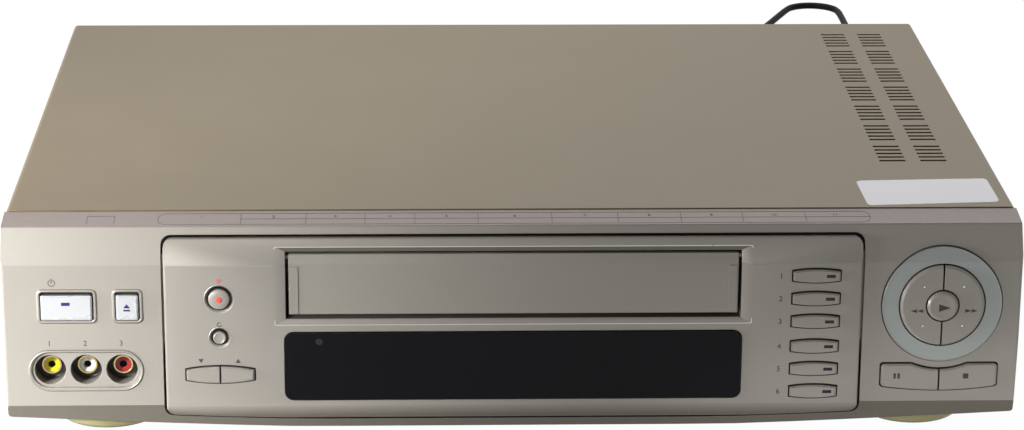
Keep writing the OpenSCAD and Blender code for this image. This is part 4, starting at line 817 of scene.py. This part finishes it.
def open_the_panel():
    """The centre panel, without the hair-thin web that its solid leaves across the cassette opening."""
    solid = nodes["centre_panel"]
    panel = bpy.data.objects.new("front_panel", solid.data.copy())
    scene.collection.objects.link(panel)
    select_only(panel)
    bpy.ops.mesh.customdata_custom_splitnormals_clear()
    bpy.ops.object.mode_set(mode="EDIT")
    bpy.ops.mesh.select_all(action="SELECT")
    bpy.ops.mesh.remove_doubles(threshold=WELD)
    bpy.ops.object.mode_set(mode="OBJECT")
    web = bar(-100.1, 100.1, -2.5, -1.38, 74.9, 76.2)
    select_only(panel)
    cut = panel.modifiers.new("opening", "BOOLEAN")
    cut.operation = "DIFFERENCE"
    cut.solver = "EXACT"
    cut.object = web
    bpy.ops.object.modifier_apply(modifier=cut.name)
    bpy.ops.object.shade_smooth_by_angle(angle=SMOOTH_ANGLE)
    select_only(web)
    bpy.ops.object.delete()
    settle(panel, "front_panel", front_paint)
    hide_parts("centre_panel")


open_the_panel()


def add_lead_tie():
    """The wire tie of the wound lead."""
    select_only()
    x = COIL[0] - (COIL_INNER + COIL_OUTER) / 2
    bpy.ops.mesh.primitive_torus_add(major_segments=48, minor_segments=10, major_radius=0.009,
                                     minor_radius=0.0006, location=at(x, COIL[1], 4.85),
                                     rotation=FACING_FRONT)
    tie = bpy.context.object
    tie.scale = (1.0, 0.49, 1.0)
    bpy.ops.object.shade_smooth()
    settle(tie, "lead_tie", black_plastic)


add_lead_tie()


# Light, floor and backdrop

def add_light(kind, name, place, aim, watts):
    """A lamp turned to what it lights, which the camera itself doesn't see."""
    data = bpy.data.lights.new(name, kind)
    data.energy = watts
    piece = bpy.data.objects.new(name, data)
    scene.collection.objects.link(piece)
    piece.location = place
    piece.rotation_euler = (Vector(aim) - Vector(place)).to_track_quat("-Z", "Y").to_euler()
    piece.visible_camera = False
    return piece, data


def lamp(name, place, aim, width, height, watts, mirrored=True):
    piece, data = add_light("AREA", name, place, aim, watts)
    data.shape = "RECTANGLE"
    data.size = width
    data.size_y = height
    piece.visible_glossy = mirrored


def spot(name, place, aim, angle, watts, size):
    piece, data = add_light("SPOT", name, place, aim, watts)
    data.spot_size = math.radians(angle)
    data.spot_blend = 1.0
    data.shadow_soft_size = size


lamp("top_softbox", (0.12, 0.95, 1.6), (0.05, 0.1, 0), 1.6, 1.0, 21.5)
lamp("left_window", (-1.05, -2.2, 0.5), (-0.1, -0.16, 0.05), 0.7, 0.6, 5.0)
lamp("left_side", (-1.55, -0.36, 0.12), (0.1, -0.16, 0.06), 0.3, 0.15, 20)
lamp("front_card", (0.2, -0.212, 0.008), (0.2, -0.16, 0.008), 0.26, 0.01, 0.034, mirrored=False)
spot("left_beam", (-1.35, -1.35, 0.65), (-0.32, -0.16, 0.06), 13.8, 500, 0.12)


def seen_rays(tree):
    """A mask of the rays by which the camera sees a thing: straight, through glass or mirrored."""
    path = tree.nodes.new("ShaderNodeLightPath").outputs
    straight = math_node(tree, "MAXIMUM", path["Is Camera Ray"], path["Is Transmission Ray"])
    return math_node(tree, "MAXIMUM", straight, path["Is Glossy Ray"])


def mix_into(tree, mask, first, second, out):
    mix = tree.nodes.new("ShaderNodeMixShader")
    for socket, value in zip(mix.inputs, (mask, first.outputs[0], second.outputs[0])):
        tree.links.new(value, socket)
    tree.links.new(mix.outputs[0], out.inputs[0])


def white_world():
    """White where it is seen, and a dim warm room as a light."""
    world = bpy.data.worlds.new("studio")
    scene.world = world
    tree = cleared_tree(world)
    out = tree.nodes.new("ShaderNodeOutputWorld")
    room = add(tree, "ShaderNodeBackground", Color=(1.0, 0.98, 0.96), Strength=0.08)
    seen = add(tree, "ShaderNodeBackground", Color=(1, 1, 1), Strength=1.0)
    mix_into(tree, seen_rays(tree), room, seen, out)


def white_floor():
    """A table that glows white where it is seen, with a faint shadow left, and lights as plain cloth."""
    select_only()
    bpy.ops.mesh.primitive_plane_add(size=16, location=(0, 0, 0))
    floor = bpy.context.object
    floor.name = "floor"
    material = bpy.data.materials.new("white_table")
    tree = cleared_tree(material)
    out = tree.nodes.new("ShaderNodeOutputMaterial")
    cloth = add(tree, "ShaderNodeBsdfDiffuse", Color=(0.7, 0.7, 0.7))
    glow = add(tree, "ShaderNodeEmission", Color=(1, 1, 1), Strength=1.03)
    glow_share = math_node(tree, "MULTIPLY", seen_rays(tree), 0.95)
    mix_into(tree, glow_share, cloth, glow, out)
    floor.data.materials.append(material)


white_world()
white_floor()
scene.view_settings.view_transform = "Standard"
